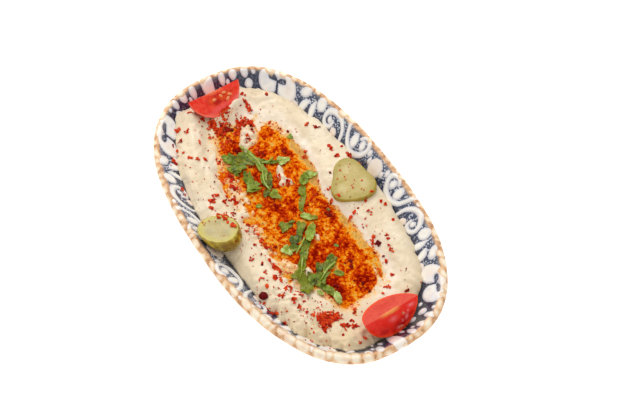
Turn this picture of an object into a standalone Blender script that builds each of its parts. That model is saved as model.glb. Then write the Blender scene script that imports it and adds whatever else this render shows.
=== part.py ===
"""A plate of hummus: an oval stoneware dish, the hummus in it with its pool of olive oil,
two wedges of tomato and two cuts of pickled cucumber.

Metres, +Z up. The origin is on the surface that the dish stands on, under the dish's centre.
+X runs along the dish's length, +Y across it.
"""
import math

import bmesh
import bpy
from mathutils import Matrix, Vector

MM = 0.001

# The dish: a superellipse in plan, so every ring of it is given by how far it lies in from the rim.
DISH_LENGTH = 210.0 * MM
DISH_WIDTH = 121.2 * MM
DISH_HEIGHT = 36.0 * MM
OVAL_POWER = 2.49
SIDES = 64                      # corners round every oval
WALL_SLOPE = math.radians(48)
LIP_RADIUS = 2.3 * MM
LIP_UNDERCUT = math.radians(40)  # how far the lip rolls under, past its widest point
WALL_THICKNESS = 4.4 * MM
FLOOR_TOP = 7.6 * MM
FLOOR_FILLET = 16.0 * MM
FOOT_HEIGHT = 4.2 * MM
FOOT_RING = 4.4 * MM            # width of the flat ring that the dish stands on
FOOT_CHAMFER = 0.8 * MM
FOOT_RECESS = 3.4 * MM          # underside of the floor, inside the foot

# The hummus: a bank that leans on the wall all round and falls to a long trough in the middle.
CLEARANCE = 0.45 * MM           # upright gap between the hummus and the dish
SINK_GAP = 0.5 * MM             # room round what is pressed into the hummus
EDGE_INSET_SIDE = 12.4 * MM
EDGE_INSET_LEFT = 9.8 * MM
EDGE_INSET_RIGHT = 11.2 * MM
EDGE_LIP = 0.6 * MM             # height of the hummus's own edge against the wall
SHOULDER = 7.0 * MM             # over this much, the bank rises from its edge to its crest
CREST = 29.5 * MM
TROUGH_FLOOR = 21.5 * MM
TROUGH_CENTRE = (1.3 * MM, 0.8 * MM)
TROUGH_HALF = (65.5 * MM, 24.5 * MM)
TROUGH_POWER = 3.2
TROUGH_FOOT = 0.6               # the bank starts to rise here, as a share of the trough's half width
TROUGH_BROW = 1.5               # and reaches its crest here
OIL_LEVEL = 24.8 * MM
OIL_SHORE = 0.95                # the oil's edge, as a share of the trough's half width

# The garnish.
WEDGE_LENGTH = 33.0 * MM
WEDGE_RADIUS = 15.6 * MM
PICKLE_END_RADIUS = 11.3 * MM
PICKLE_END_DEPTH = 12.0 * MM
PICKLE_END_SLANT = (2.8 * MM, 4.0 * MM)  # the tip lies this far off the middle of the slanting cut
PICKLE_SLICE_RADIUS = 13.2 * MM
PICKLE_SLICE_WAVES = (           # cosine and sine parts of its outline: once, twice, three times round
    (0.85 * MM, 0.32 * MM),
    (1.20 * MM, -0.68 * MM),
    (-0.92 * MM, 1.32 * MM),
)
PICKLE_SLICE_THICKNESS = 4.8 * MM


def clear_scene():
    for thing in list(bpy.data.objects):
        bpy.data.objects.remove(thing, do_unlink=True)


def new_collection(name):
    collection = bpy.data.collections.new(name)
    bpy.context.scene.collection.children.link(collection)
    return collection


def new_material(name, colour, roughness):
    material = bpy.data.materials.new(name)
    material.use_nodes = True
    shader = material.node_tree.nodes["Principled BSDF"]
    shader.inputs["Base Color"].default_value = (*colour, 1.0)
    shader.inputs["Roughness"].default_value = roughness
    shader.inputs["Metallic"].default_value = 0.0
    return material


def add_object(name, mesh, collection, material=None):
    thing = bpy.data.objects.new(name, mesh)
    collection.objects.link(thing)
    if material:
        mesh.materials.append(material)
    return thing


def add_mesh(name, body, collection, material=None):
    """Turns a bmesh into an object with smooth round faces and crisp edges."""
    bmesh.ops.recalc_face_normals(body, faces=body.faces)
    mesh = bpy.data.meshes.new(name)
    body.to_mesh(mesh)
    body.free()
    mesh.shade_smooth()
    mesh.set_sharp_from_angle(angle=math.radians(40))
    return add_object(name, mesh, collection, material)


def turned_shape(name, corners, steps, collection):
    """A bmesh of the profile (x, z) turned once round Z."""
    profile = bpy.data.meshes.new(name + "_profile")
    points = [(x, 0.0, z) for x, z in corners]
    profile.from_pydata(points, [(n, n + 1) for n in range(len(points) - 1)], [])
    turned = bpy.data.objects.new(name + "_profile", profile)
    collection.objects.link(turned)
    screw = turned.modifiers.new("turn", "SCREW")
    screw.steps = steps
    screw.render_steps = steps
    screw.use_merge_vertices = True
    screw.merge_threshold = 0.00001
    bpy.context.view_layer.update()
    evaluated = turned.evaluated_get(bpy.context.evaluated_depsgraph_get())
    shape = bpy.data.meshes.new_from_object(evaluated)
    bpy.data.objects.remove(turned, do_unlink=True)
    bpy.data.meshes.remove(profile)
    body = bmesh.new()
    body.from_mesh(shape)
    bpy.data.meshes.remove(shape)
    bmesh.ops.remove_doubles(body, verts=body.verts, dist=0.00001)
    return body


# ---- the oval

def oval_point(turn, half_length, half_width, power=OVAL_POWER):
    """The point of an upright superellipse at an angle from +X."""
    cosine = math.cos(turn)
    sine = math.sin(turn)
    along = math.copysign(abs(cosine) ** (2 / power), cosine)
    across = math.copysign(abs(sine) ** (2 / power), sine)
    return half_length * along, half_width * across


def dish_point(turn, inset, height):
    """A point of the dish, by its angle, its distance in from the rim and its height."""
    across = DISH_WIDTH / 2 - inset
    along = DISH_LENGTH / 2 - inset
    core = floor_edge_inset()
    if inset > core:
        along = across * (DISH_LENGTH / 2 - core) / (DISH_WIDTH / 2 - core)
    x, y = oval_point(turn, along, across)
    return Vector((x, y, height))


def turns():
    return [math.tau * step / SIDES for step in range(SIDES)]


# ---- the dish's section, as (inset from the rim, height)

def arc(centre, radius, start, end, steps):
    """Points of an arc in the section; angles in radians, from the inset axis."""
    points = []
    for step in range(steps + 1):
        turn = start + (end - start) * step / steps
        points.append((centre[0] + radius * math.cos(turn), centre[1] + radius * math.sin(turn)))
    return points


def lip_centre():
    return LIP_RADIUS, DISH_HEIGHT - LIP_RADIUS


def wall_top():
    """Where the round lip runs into the straight inner wall."""
    normal = math.pi / 2 - WALL_SLOPE
    centre = lip_centre()
    return centre[0] + LIP_RADIUS * math.cos(normal), centre[1] + LIP_RADIUS * math.sin(normal)


def wall_height(inset):
    """Height of the straight inner wall above a point at this inset."""
    top = wall_top()
    return top[1] - (inset - top[0]) * math.tan(WALL_SLOPE)


def wall_foot_inset():
    """Where the straight wall would meet the floor if nothing rounded the corner."""
    top = wall_top()
    return top[0] + (top[1] - FLOOR_TOP) / math.tan(WALL_SLOPE)


def floor_edge_inset():
    return wall_foot_inset() + FLOOR_FILLET * math.tan(WALL_SLOPE / 2)


def inner_section(steps=5):
    """The inner side from the foot of the straight wall to the edge of the flat floor."""
    centre = (floor_edge_inset(), FLOOR_TOP + FLOOR_FILLET)
    start = -math.pi / 2 - WALL_SLOPE
    return arc(centre, FLOOR_FILLET, start, -math.pi / 2, steps)


def outer_section():
    """The outer side from under the lip to the flat underside."""
    lean = math.tan(WALL_SLOPE)
    wall_shift = WALL_THICKNESS / math.sin(WALL_SLOPE)
    line_inset = wall_top()[0] - wall_shift
    line_height = wall_top()[1]

    def outer_inset(height):
        return line_inset + (line_height - height) / lean

    foot_outer = outer_inset(FOOT_HEIGHT)
    ring_start = foot_outer + FOOT_CHAMFER * 1.5
    ring_end = ring_start + FOOT_RING
    lip = lip_centre()
    lip_end = LIP_RADIUS * math.sin(LIP_UNDERCUT)
    below_lip = lip[1] - lip_end - 1.2 * MM
    return [
        (outer_inset(below_lip), below_lip),
        (outer_inset(DISH_HEIGHT / 2), DISH_HEIGHT / 2),
        (foot_outer, FOOT_HEIGHT),
        (ring_start - FOOT_CHAMFER, FOOT_CHAMFER),
        (ring_start, 0.0),
        (ring_end, 0.0),
        (ring_end + FOOT_CHAMFER, FOOT_CHAMFER),
        (ring_end + 2.2 * MM, FOOT_RECESS),
    ]


def dish_section():
    """From the middle of the floor up the inner wall, over the lip and down to the underside."""
    centre_inset = DISH_WIDTH / 2
    half_floor = (centre_inset + floor_edge_inset()) / 2
    inside = [(centre_inset, FLOOR_TOP), (half_floor, FLOOR_TOP)]
    inside += reversed(inner_section())
    lip = arc(lip_centre(), LIP_RADIUS, math.pi / 2 - WALL_SLOPE, math.pi + LIP_UNDERCUT, 7)
    return inside + lip + outer_section() + [(centre_inset, FOOT_RECESS)]


def build_dish(collection, material):
    """The section turned once round, and every corner then moved out to the oval."""
    corners = [(DISH_WIDTH / 2 - inset, height) for inset, height in dish_section()]
    body = turned_shape("dish", corners, SIDES, collection)
    for corner in body.verts:
        reach = math.hypot(corner.co.x, corner.co.y)
        turn = math.atan2(corner.co.y, corner.co.x)
        corner.co = dish_point(turn, DISH_WIDTH / 2 - reach, corner.co.z)
    return add_mesh("dish", body, collection, material)


# ---- the hummus and the oil in it

def smooth_step(low, high, value):
    share = min(max((value - low) / (high - low), 0.0), 1.0)
    return share * share * (3 - 2 * share)


def edge_inset(turn):
    """How far in from the rim the hummus ends: it climbs higher up the wall at the ends."""
    right = max(0.0, math.cos(turn)) ** 4
    left = max(0.0, -math.cos(turn)) ** 4
    change = (EDGE_INSET_RIGHT - EDGE_INSET_SIDE) * right + (EDGE_INSET_LEFT - EDGE_INSET_SIDE) * left
    return EDGE_INSET_SIDE + change


def trough_share(x, y):
    """1 on the trough's outline, 0 at its centre."""
    along = abs(x - TROUGH_CENTRE[0]) / TROUGH_HALF[0]
    across = abs(y - TROUGH_CENTRE[1]) / TROUGH_HALF[1]
    return (along ** TROUGH_POWER + across ** TROUGH_POWER) ** (1 / TROUGH_POWER)


def trough_point(turn, share):
    x, y = oval_point(turn, TROUGH_HALF[0], TROUGH_HALF[1], TROUGH_POWER)
    return TROUGH_CENTRE[0] + x * share, TROUGH_CENTRE[1] + y * share


def bank_height(x, y):
    rise = smooth_step(TROUGH_FOOT, TROUGH_BROW, trough_share(x, y))
    return TROUGH_FLOOR + (CREST - TROUGH_FLOOR) * rise


def trough_loop(share, lift=0.0):
    loop = []
    for turn in turns():
        x, y = trough_point(turn, share)
        loop.append(Vector((x, y, bank_height(x, y) + lift)))
    return loop


def bank_loop(share):
    """A loop between the trough's outline (0) and the hummus's edge on the wall (1)."""
    loop = []
    for turn in turns():
        inner_x, inner_y = trough_point(turn, 1.0)
        inset = edge_inset(turn)
        edge = dish_point(turn, inset, wall_height(inset) + CLEARANCE + EDGE_LIP)
        x = inner_x + (edge.x - inner_x) * share
        y = inner_y + (edge.y - inner_y) * share
        from_edge = math.hypot(edge.x - x, edge.y - y)
        drop = (1 - min(1.0, from_edge / SHOULDER)) ** 2
        crest = bank_height(x, y)
        loop.append(Vector((x, y, crest + (edge.z - crest) * drop)))
    return loop


def bed_loop(inset, height):
    """A loop of the hummus's underside, just clear of the dish."""
    return [dish_point(turn, inset, height + CLEARANCE) for turn in turns()]


def edge_loop():
    return [dish_point(turn, edge_inset(turn), wall_height(edge_inset(turn)) + CLEARANCE) for turn in turns()]


def lofted_body(start, loops, end):
    """One closed skin over loops of equally many corners, from a start point to an end point."""
    body = bmesh.new()
    first = body.verts.new(start)
    rings = [[body.verts.new(corner) for corner in loop] for loop in loops]
    last = body.verts.new(end)
    for here in range(SIDES):
        there = (here + 1) % SIDES
        body.faces.new((first, rings[0][here], rings[0][there]))
        for ring, next_ring in zip(rings, rings[1:]):
            body.faces.new((ring[here], next_ring[here], next_ring[there], ring[there]))
        body.faces.new((last, rings[-1][there], rings[-1][here]))
    return body


TROUGH_SHARES = (0.35, 0.6, 0.8, OIL_SHORE)


def build_hummus(collection, material):
    middle = Vector((*TROUGH_CENTRE, TROUGH_FLOOR))
    loops = [trough_loop(share) for share in TROUGH_SHARES]
    loops += [bank_loop(share) for share in (0.02, 0.18, 0.36, 0.54, 0.7, 0.82, 0.92, 1.0)]
    loops.append(edge_loop())
    loops += [bed_loop(inset, height) for inset, height in inner_section()]
    loops.append(bed_loop((DISH_WIDTH / 2 + floor_edge_inset()) / 2, FLOOR_TOP))
    bed = Vector((0.0, 0.0, FLOOR_TOP + CLEARANCE))
    return add_mesh("hummus", lofted_body(middle, loops, bed), collection, material)


def build_oil(collection, material):
    """A flat pool whose underside follows the trough, one gap above it."""
    gap = 0.3 * MM
    surface = [Vector((*trough_point(turn, OIL_SHORE), OIL_LEVEL)) for turn in turns()]
    loops = [surface]
    loops += [trough_loop(share, gap) for share in reversed(TROUGH_SHARES)]
    top = Vector((*TROUGH_CENTRE, OIL_LEVEL))
    bottom = Vector((*TROUGH_CENTRE, TROUGH_FLOOR + gap))
    return add_mesh("olive_oil", lofted_body(top, loops, bottom), collection, material)


# ---- the garnish

def build_wedge(name, opening, place, collection, material):
    """A wedge of tomato: a ball, drawn out along the core and cut by two planes through it.

    In its own frame the core is the X axis and the skin hangs below it.
    """
    bpy.ops.mesh.primitive_uv_sphere_add(segments=32, ring_count=14, radius=WEDGE_RADIUS)
    ball = bpy.context.object
    body = bmesh.new()
    body.from_mesh(ball.data)
    bpy.data.objects.remove(ball, do_unlink=True)
    stretch = WEDGE_LENGTH / 2 / WEDGE_RADIUS
    upright_to_core = Matrix.Rotation(math.pi / 2, 4, "Y") @ Matrix.Diagonal((1, 1, stretch, 1))
    bmesh.ops.transform(body, matrix=upright_to_core, verts=body.verts)
    for side in (-1, 1):
        lean = side * opening / 2
        cut_normal = Vector((0, side * math.cos(lean), side * math.sin(lean)))
        geometry = body.verts[:] + body.edges[:] + body.faces[:]
        cut = bmesh.ops.bisect_plane(
            body, geom=geometry, dist=0.00001, plane_co=(0, 0, 0), plane_no=cut_normal, clear_outer=True
        )
        rim = [piece for piece in cut["geom_cut"] if isinstance(piece, bmesh.types.BMEdge)]
        bmesh.ops.contextual_create(body, geom=rim)
    bmesh.ops.remove_doubles(body, verts=body.verts, dist=0.00002)
    wedge = add_mesh(name, body, collection, material)
    wedge.matrix_world = place
    return wedge


def pickle_end_radius(depth):
    """Radius of the rounded end piece, at a share of its depth below the cut."""
    return PICKLE_END_RADIUS * math.sqrt(1 - depth ** 2.8)


def build_pickle_end(place, collection, material):
    """The rounded end of a pickled cucumber, cut side up: a turned dome that leans to one side."""
    steps = 8
    depths = [1 - (1 - step / steps) ** 1.4 for step in range(steps + 1)]
    corners = [(0.0, 0.0)]
    corners += [(pickle_end_radius(depth), -depth * PICKLE_END_DEPTH) for depth in depths]
    body = turned_shape("pickle_end", corners, 36, collection)
    for corner in body.verts:
        turn = math.atan2(corner.co.y, corner.co.x)
        swell = 1 + 0.02 * math.cos(3 * turn + 0.6)
        depth = -corner.co.z / PICKLE_END_DEPTH
        corner.co.x = corner.co.x * swell + PICKLE_END_SLANT[0] * depth
        corner.co.y = corner.co.y * swell + PICKLE_END_SLANT[1] * depth
    piece = add_mesh("pickle_end", body, collection, material)
    piece.matrix_world = place
    return piece


def pickle_outline(turn):
    """Radius of the slice: its three seed chambers leave it a rounded, uneven triangle."""
    reach = PICKLE_SLICE_RADIUS
    for times, (cosine, sine) in enumerate(PICKLE_SLICE_WAVES, start=1):
        reach += cosine * math.cos(times * turn) + sine * math.sin(times * turn)
    return reach


def build_pickle_slice(place, collection, material):
    bpy.ops.mesh.primitive_cylinder_add(vertices=40, radius=1.0, depth=PICKLE_SLICE_THICKNESS)
    drum = bpy.context.object
    body = bmesh.new()
    body.from_mesh(drum.data)
    bpy.data.objects.remove(drum, do_unlink=True)
    for corner in body.verts:
        turn = math.atan2(corner.co.y, corner.co.x)
        reach = pickle_outline(turn)
        corner.co.x *= reach
        corner.co.y *= reach
    piece = add_mesh("pickle_slice", body, collection, material)
    piece.matrix_world = place
    bevel = piece.modifiers.new("soft_edge", "BEVEL")
    bevel.width = 0.7 * MM
    bevel.segments = 2
    return piece


def press_into(hummus, garnish, cutters):
    """Cuts a hollow into the hummus, a little larger than the garnish that sits in it."""
    cutter = garnish.copy()
    cutter.data = garnish.data.copy()
    cutter.name = garnish.name + "_cutter"
    cutters.objects.link(cutter)
    cutter.hide_render = True
    cutter.display_type = "WIRE"
    swell = cutter.modifiers.new("gap", "DISPLACE")
    swell.strength = SINK_GAP
    swell.mid_level = 0.0
    hollow = hummus.modifiers.new("hollow_for_" + garnish.name, "BOOLEAN")
    hollow.operation = "DIFFERENCE"
    hollow.solver = "EXACT"
    hollow.object = cutter


def placed(x, y, z, core_turn, roll):
    """A place in millimetres; the piece first rolls about its X axis and then turns about Z."""
    turn = Matrix.Rotation(math.radians(core_turn), 4, "Z")
    return Matrix.Translation((x * MM, y * MM, z * MM)) @ turn @ Matrix.Rotation(math.radians(roll), 4, "X")


def tilted(x, y, z, normal, spin=0.0):
    """A place in millimetres for a piece whose upper face looks along a normal."""
    turn = Vector((0, 0, 1)).rotation_difference(Vector(normal)).to_matrix().to_4x4()
    return Matrix.Translation((x * MM, y * MM, z * MM)) @ turn @ Matrix.Rotation(math.radians(spin), 4, "Z")


def main():
    clear_scene()
    parts = new_collection("plate_of_hummus")
    cutters = new_collection("cutters")

    glaze = new_material("glazed_stoneware", (0.66, 0.60, 0.55), 0.22)
    paste = new_material("hummus_paste", (0.85, 0.73, 0.51), 0.55)
    oil = new_material("olive_oil", (0.71, 0.39, 0.06), 0.08)
    tomato = new_material("tomato", (0.72, 0.06, 0.03), 0.25)
    pickle = new_material("pickled_cucumber", (0.55, 0.52, 0.20), 0.30)

    build_dish(parts, glaze)
    hummus = build_hummus(parts, paste)
    build_oil(parts, oil)

    front = build_wedge(
        "tomato_wedge_front", math.radians(82), placed(87.2, 5.0, 41.7, 92.3, 15.5), parts, tomato
    )
    back = build_wedge(
        "tomato_wedge_back", math.radians(48), placed(-90.3, -0.8, 39.3, 90, -26), parts, tomato
    )
    end = build_pickle_end(tilted(-6.4, -45.4, 38.5, (-0.20, 0.14, 0.97)), parts, pickle)
    slice_place = tilted(0.0, 36.0, 29.1, (0.0, -0.06, 1.0))
    flat_slice = build_pickle_slice(slice_place, parts, pickle)
    for garnish in (front, back, end, flat_slice):
        press_into(hummus, garnish, cutters)


main()
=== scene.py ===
# %% [markdown]
# # An oval dish of hummus
# A shallow oval dish with a blue and white scroll glaze holds a bed of hummus. A pool of olive oil and
# paprika lies in its middle, and pepper flakes, parsley, two tomato wedges and two cuts of pickled
# cucumber lie on top.
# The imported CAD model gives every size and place. Each CAD node is replaced here by a finer piece of
# the same form, so this file works in millimetres in the CAD's own frame and turns them into metres
# only where a mesh is written.

# %% Load the frame
import math

import bpy
import numpy as np
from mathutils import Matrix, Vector
from mathutils.bvhtree import BVHTree


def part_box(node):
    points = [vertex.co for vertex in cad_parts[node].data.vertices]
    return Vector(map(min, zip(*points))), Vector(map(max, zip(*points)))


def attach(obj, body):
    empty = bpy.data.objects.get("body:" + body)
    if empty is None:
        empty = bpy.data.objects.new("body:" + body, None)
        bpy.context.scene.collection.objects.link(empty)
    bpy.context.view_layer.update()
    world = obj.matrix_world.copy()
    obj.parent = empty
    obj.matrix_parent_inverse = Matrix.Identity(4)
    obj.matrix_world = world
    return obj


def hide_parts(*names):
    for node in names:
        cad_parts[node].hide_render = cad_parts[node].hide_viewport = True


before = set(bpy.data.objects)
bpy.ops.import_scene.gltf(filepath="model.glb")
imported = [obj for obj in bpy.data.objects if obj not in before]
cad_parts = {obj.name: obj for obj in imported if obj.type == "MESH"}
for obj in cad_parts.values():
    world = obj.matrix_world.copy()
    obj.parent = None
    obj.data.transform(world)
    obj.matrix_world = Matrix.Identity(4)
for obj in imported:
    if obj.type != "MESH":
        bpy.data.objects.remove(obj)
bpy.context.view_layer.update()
MM = 0.001


def in_mm(corner):
    return [round(value / MM, 1) for value in corner]


print("CAD nodes:", sorted(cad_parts))

# %% [markdown]
# ## Tools for shaping
# An operator acts on whatever is selected, so each piece starts from a clean selection. Most pieces
# here are soft or handmade, so they start as an even sheet from a primitive, which numpy then bends to
# a formula in one go. That is sculpting with numbers: the operators give clean faces, and the formula
# gives every corner its place.
# A finished piece has its place in its mesh and its object at the origin.

# %% Selecting, reading and moving corners


def select_only(piece):
    bpy.ops.object.select_all(action="DESELECT")
    piece.select_set(True)
    bpy.context.view_layer.objects.active = piece


def corners_of(piece):
    """Every corner of a piece, in millimetres."""
    places = np.empty(len(piece.data.vertices) * 3)
    piece.data.vertices.foreach_get("co", places)
    return places.reshape(-1, 3) / MM


def move_corners(piece, x, y, z):
    places = np.stack([x, y, z], axis=1) * MM
    piece.data.vertices.foreach_set("co", places.ravel())
    piece.data.update()


def store(piece, name, values):
    """Keeps a number at every corner, which a material can read."""
    layer = piece.data.attributes.new(name, "FLOAT", "POINT")
    layer.data.foreach_set("value", np.asarray(values, np.float32))


def stored(piece, name):
    values = np.empty(len(piece.data.vertices), np.float32)
    piece.data.attributes[name].data.foreach_get("value", values)
    return values.astype(float)


def tidy_skin(piece, gap=0.002):
    """Closes seams and poles, and turns every face outwards."""
    select_only(piece)
    bpy.ops.object.mode_set(mode="EDIT")
    bpy.ops.mesh.select_all(action="SELECT")
    bpy.ops.mesh.remove_doubles(threshold=gap * MM)
    bpy.ops.mesh.normals_make_consistent(inside=False)
    bpy.ops.object.mode_set(mode="OBJECT")
    bpy.ops.object.shade_smooth()


def sheet_of_corners(name, columns, rows):
    """A flat sheet from -1 to 1 both ways, ready to be bent."""
    bpy.ops.object.select_all(action="DESELECT")
    bpy.ops.mesh.primitive_grid_add(x_subdivisions=columns, y_subdivisions=rows, size=2)
    sheet = bpy.context.object
    sheet.name = name
    return sheet


def triangles(piece):
    piece.data.calc_loop_triangles()
    return len(piece.data.loop_triangles)


# %% [markdown]
# ## Uneven by nature
# Paste, glaze and crushed spice are never regular. One seeded field of soft hills, stretched and
# layered, gives the unevenness of every piece, and it is the same each time the lesson runs.

# %% Soft random hills


def smooth_step(low, high, value):
    share = np.clip((value - low) / (high - low), 0.0, 1.0)
    return share * share * (3 - 2 * share)


def hills(x, y, size, seed):
    """Smooth random heights from -1 to 1 whose hills are about `size` across."""
    chance = np.random.default_rng(seed)
    table = chance.uniform(-1, 1, (128, 128))
    turn = chance.uniform(0, math.tau)
    u = (x * math.cos(turn) - y * math.sin(turn)) / size + 40
    v = (x * math.sin(turn) + y * math.cos(turn)) / size + 40
    column = np.floor(u).astype(int)
    row = np.floor(v).astype(int)
    s = smooth_step(0, 1, u - column)
    t = smooth_step(0, 1, v - row)
    near = table[row % 128, column % 128] * (1 - s) + table[row % 128, (column + 1) % 128] * s
    far = table[(row + 1) % 128, column % 128] * (1 - s) + table[(row + 1) % 128, (column + 1) % 128] * s
    return near * (1 - t) + far * t


def layered_hills(x, y, size, seed, layers=3):
    """Hills with smaller hills on them, each layer half as large and half as high."""
    total = 0.0
    for layer in range(layers):
        total = total + hills(x, y, size / 2**layer, seed + layer) / 2**layer
    return total


def mound(x, y, centre, half, tilt=0.0):
    """A smooth round heap: 1 in the middle, near 0 past its half sizes."""
    turn = math.radians(tilt)
    right = x - centre[0]
    up = y - centre[1]
    along = (right * math.cos(turn) + up * math.sin(turn)) / half[0]
    across = (up * math.cos(turn) - right * math.sin(turn)) / half[1]
    return np.exp(-(along**2 + across**2) * 1.4)


def smooth_line(points, steps=16, closed=False):
    """A smooth line of many points through a few, each a tuple of numbers of any length."""
    knots = np.array(points, float)
    if closed:
        knots = np.vstack([knots[-1], knots, knots[:2]])
    else:
        knots = np.vstack([2 * knots[0] - knots[1], knots, 2 * knots[-1] - knots[-2]])
    spans = []
    for before, start, end, after in zip(knots, knots[1:], knots[2:], knots[3:]):
        t = np.linspace(0, 1, steps, endpoint=False)[:, None]
        bend = (2 * before - 5 * start + 4 * end - after) * t**2 + (3 * start - before - 3 * end + after) * t**3
        spans.append(start + 0.5 * ((end - before) * t + bend))
    if not closed:
        spans.append(knots[-2:-1])
    return np.vstack(spans)


# %% [markdown]
# ## Tools for finishes
# A material is a small sum: a mask times a colour, a bump from two grains. Written as Python
# expressions it stays readable, so a `Wire` wraps a socket and turns +, -, * and / into Math nodes, and
# `Finish.node` adds every other node.

# %% Materials as expressions


class Wire:
    """An output socket that can take part in sums."""

    def __init__(self, finish, socket):
        self.finish = finish
        self.socket = socket

    def sum(self, operation, *values):
        inputs = dict(enumerate(values))
        return self.finish.node("ShaderNodeMath", {"operation": operation}, inputs)

    def __add__(self, other):
        return self.sum("ADD", self, other)

    def __radd__(self, other):
        return self.sum("ADD", other, self)

    def __sub__(self, other):
        return self.sum("SUBTRACT", self, other)

    def __rsub__(self, other):
        return self.sum("SUBTRACT", other, self)

    def __mul__(self, other):
        return self.sum("MULTIPLY", self, other)

    def __rmul__(self, other):
        return self.sum("MULTIPLY", other, self)

    def __truediv__(self, other):
        return self.sum("DIVIDE", self, other)

    def __pow__(self, other):
        return self.sum("POWER", self, other)


def colour(red, green, blue):
    """A screen colour from 0 to 255 as the linear colour that shaders use."""
    linear = []
    for value in (red, green, blue):
        share = value / 255
        linear.append(share / 12.92 if share <= 0.04045 else ((share + 0.055) / 1.055) ** 2.4)
    return (*linear, 1.0)


class Finish:
    """One material round a Principled shader. Fixed numbers go straight on the shader's sockets."""

    def __init__(self, name, fixed):
        self.material = bpy.data.materials.new(name)
        self.material.use_nodes = True
        self.nodes = self.material.node_tree.nodes
        self.links = self.material.node_tree.links
        self.shader = self.nodes["Principled BSDF"]
        for socket, value in fixed.items():
            self.shader.inputs[socket].default_value = value
        self.place = self.node("ShaderNodeTexCoord", output="Object")

    def feed(self, socket, value):
        if isinstance(value, Wire):
            self.links.new(value.socket, socket)
        else:
            socket.default_value = value

    def node(self, kind, settings=None, inputs=None, output=0):
        """Adds a node: its settings first, then the values or wires of its sockets."""
        made = self.nodes.new(kind)
        for setting, value in (settings or {}).items():
            if setting == "stops":
                for stop, (share, shade) in enumerate(value):
                    if stop < 2:
                        mark = made.color_ramp.elements[stop]
                        mark.position = share
                    else:
                        mark = made.color_ramp.elements.new(share)
                    mark.color = shade
            else:
                setattr(made, setting, value)
        for socket, value in (inputs or {}).items():
            self.feed(made.inputs[socket], value)
        return Wire(self, made.outputs[output])

    def stored(self, name):
        return self.node("ShaderNodeAttribute", {"attribute_name": name}, output="Fac")

    def grain(self, size, detail=2.0, sharpness=0.5, stretch=None):
        """Noise from 0 to 1 whose lumps are about `size` millimetres across."""
        place = self.place
        if stretch:
            place = self.node("ShaderNodeMapping", inputs={"Vector": place, "Scale": stretch})
        inputs = {"Vector": place, "Scale": 1 / (size * MM), "Detail": detail, "Roughness": sharpness}
        return self.node("ShaderNodeTexNoise", inputs=inputs, output="Fac")

    def cells(self, size, settings=None, output="Distance"):
        inputs = {"Vector": self.place, "Scale": 1 / (size * MM)}
        return self.node("ShaderNodeTexVoronoi", settings, inputs, output)

    def step(self, low, high, value):
        """0 below low, 1 above high, and smooth between."""
        settings = {"interpolation_type": "SMOOTHSTEP"}
        inputs = {"Value": value, "From Min": low, "From Max": high}
        return self.node("ShaderNodeMapRange", settings, inputs)

    def mix(self, share, first, second, blend="MIX"):
        """A colour between two others."""
        settings = {"data_type": "RGBA", "blend_type": blend}
        return self.node("ShaderNodeMix", settings, {0: share, 6: first, 7: second}, output=2)

    def ramp(self, value, stops):
        return self.node("ShaderNodeValToRGB", {"stops": stops}, {"Fac": value}, output="Color")

    def relief(self, height, depth):
        """Bumps `depth` millimetres high where height goes from 0 to 1."""
        inputs = {"Strength": 1.0, "Distance": depth * MM, "Height": height}
        self.feed(self.shader.inputs["Normal"], self.node("ShaderNodeBump", inputs=inputs, output="Normal"))

    def set(self, socket, value):
        self.feed(self.shader.inputs[socket], value)


def wear(piece, finish, slot_name, *nodes):
    """Gives a finished piece its material, its body and the CAD nodes that it stands for; slot_name is not used."""
    piece.data.materials.clear()
    piece.data.materials.append(finish.material)
    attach(piece, "root")
    if nodes:
        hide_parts(*nodes)
    print(piece.name, "has", triangles(piece), "triangles")


# %% [markdown]
# ## The dish's section
# A dish is thrown or pressed from one profile: a flat floor, a round corner, a straight wall that leans
# out, a rolled lip, and outside a plain wall down to a foot ring. The profile is drawn once, as a list
# of points by how far in from the rim they lie and how high. `across` measures along the skin: it is
# the distance in from the rim on the inner wall, and it goes on over the lip and down the outside.

# %% Sizes of the dish
HALF_LENGTH = 105.0
HALF_WIDTH = 60.6
OVAL_POWER = 2.49
RIM_HEIGHT = 36.0
WALL_SLOPE = math.radians(48)
LIP_RADIUS = 2.3
FLOOR_TOP = 7.6
FLOOR_FILLET = 16.0
FOOT_HEIGHT = 4.2
WALL_THICKNESS = 4.4

LIP_CENTRE = (LIP_RADIUS, RIM_HEIGHT - LIP_RADIUS)
WALL_TOP_INSET = LIP_CENTRE[0] + LIP_RADIUS * math.sin(WALL_SLOPE)
WALL_TOP_HEIGHT = LIP_CENTRE[1] + LIP_RADIUS * math.cos(WALL_SLOPE)
FLOOR_EDGE = (
    WALL_TOP_INSET
    + (WALL_TOP_HEIGHT - FLOOR_TOP) / math.tan(WALL_SLOPE)
    + FLOOR_FILLET * math.tan(WALL_SLOPE / 2)
)
FILLET_START = FLOOR_EDGE - FLOOR_FILLET * math.sin(WALL_SLOPE)
SAMPLE_INSET = 9.0  # lengths along the wall are measured on this ring


def oval(turn, half_length, half_width):
    """Points of a superellipse at angles from +X."""
    cosine = np.cos(turn)
    sine = np.sin(turn)
    x = half_length * np.sign(cosine) * np.abs(cosine) ** (2 / OVAL_POWER)
    y = half_width * np.sign(sine) * np.abs(sine) ** (2 / OVAL_POWER)
    return x, y


def ring(turn, inset):
    """Points of the dish at angles from +X and distances in from the rim."""
    across = HALF_WIDTH - inset
    core = across * (HALF_LENGTH - FLOOR_EDGE) / (HALF_WIDTH - FLOOR_EDGE)
    along = np.where(inset > FLOOR_EDGE, core, HALF_LENGTH - inset)
    return oval(turn, along, across)


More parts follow.
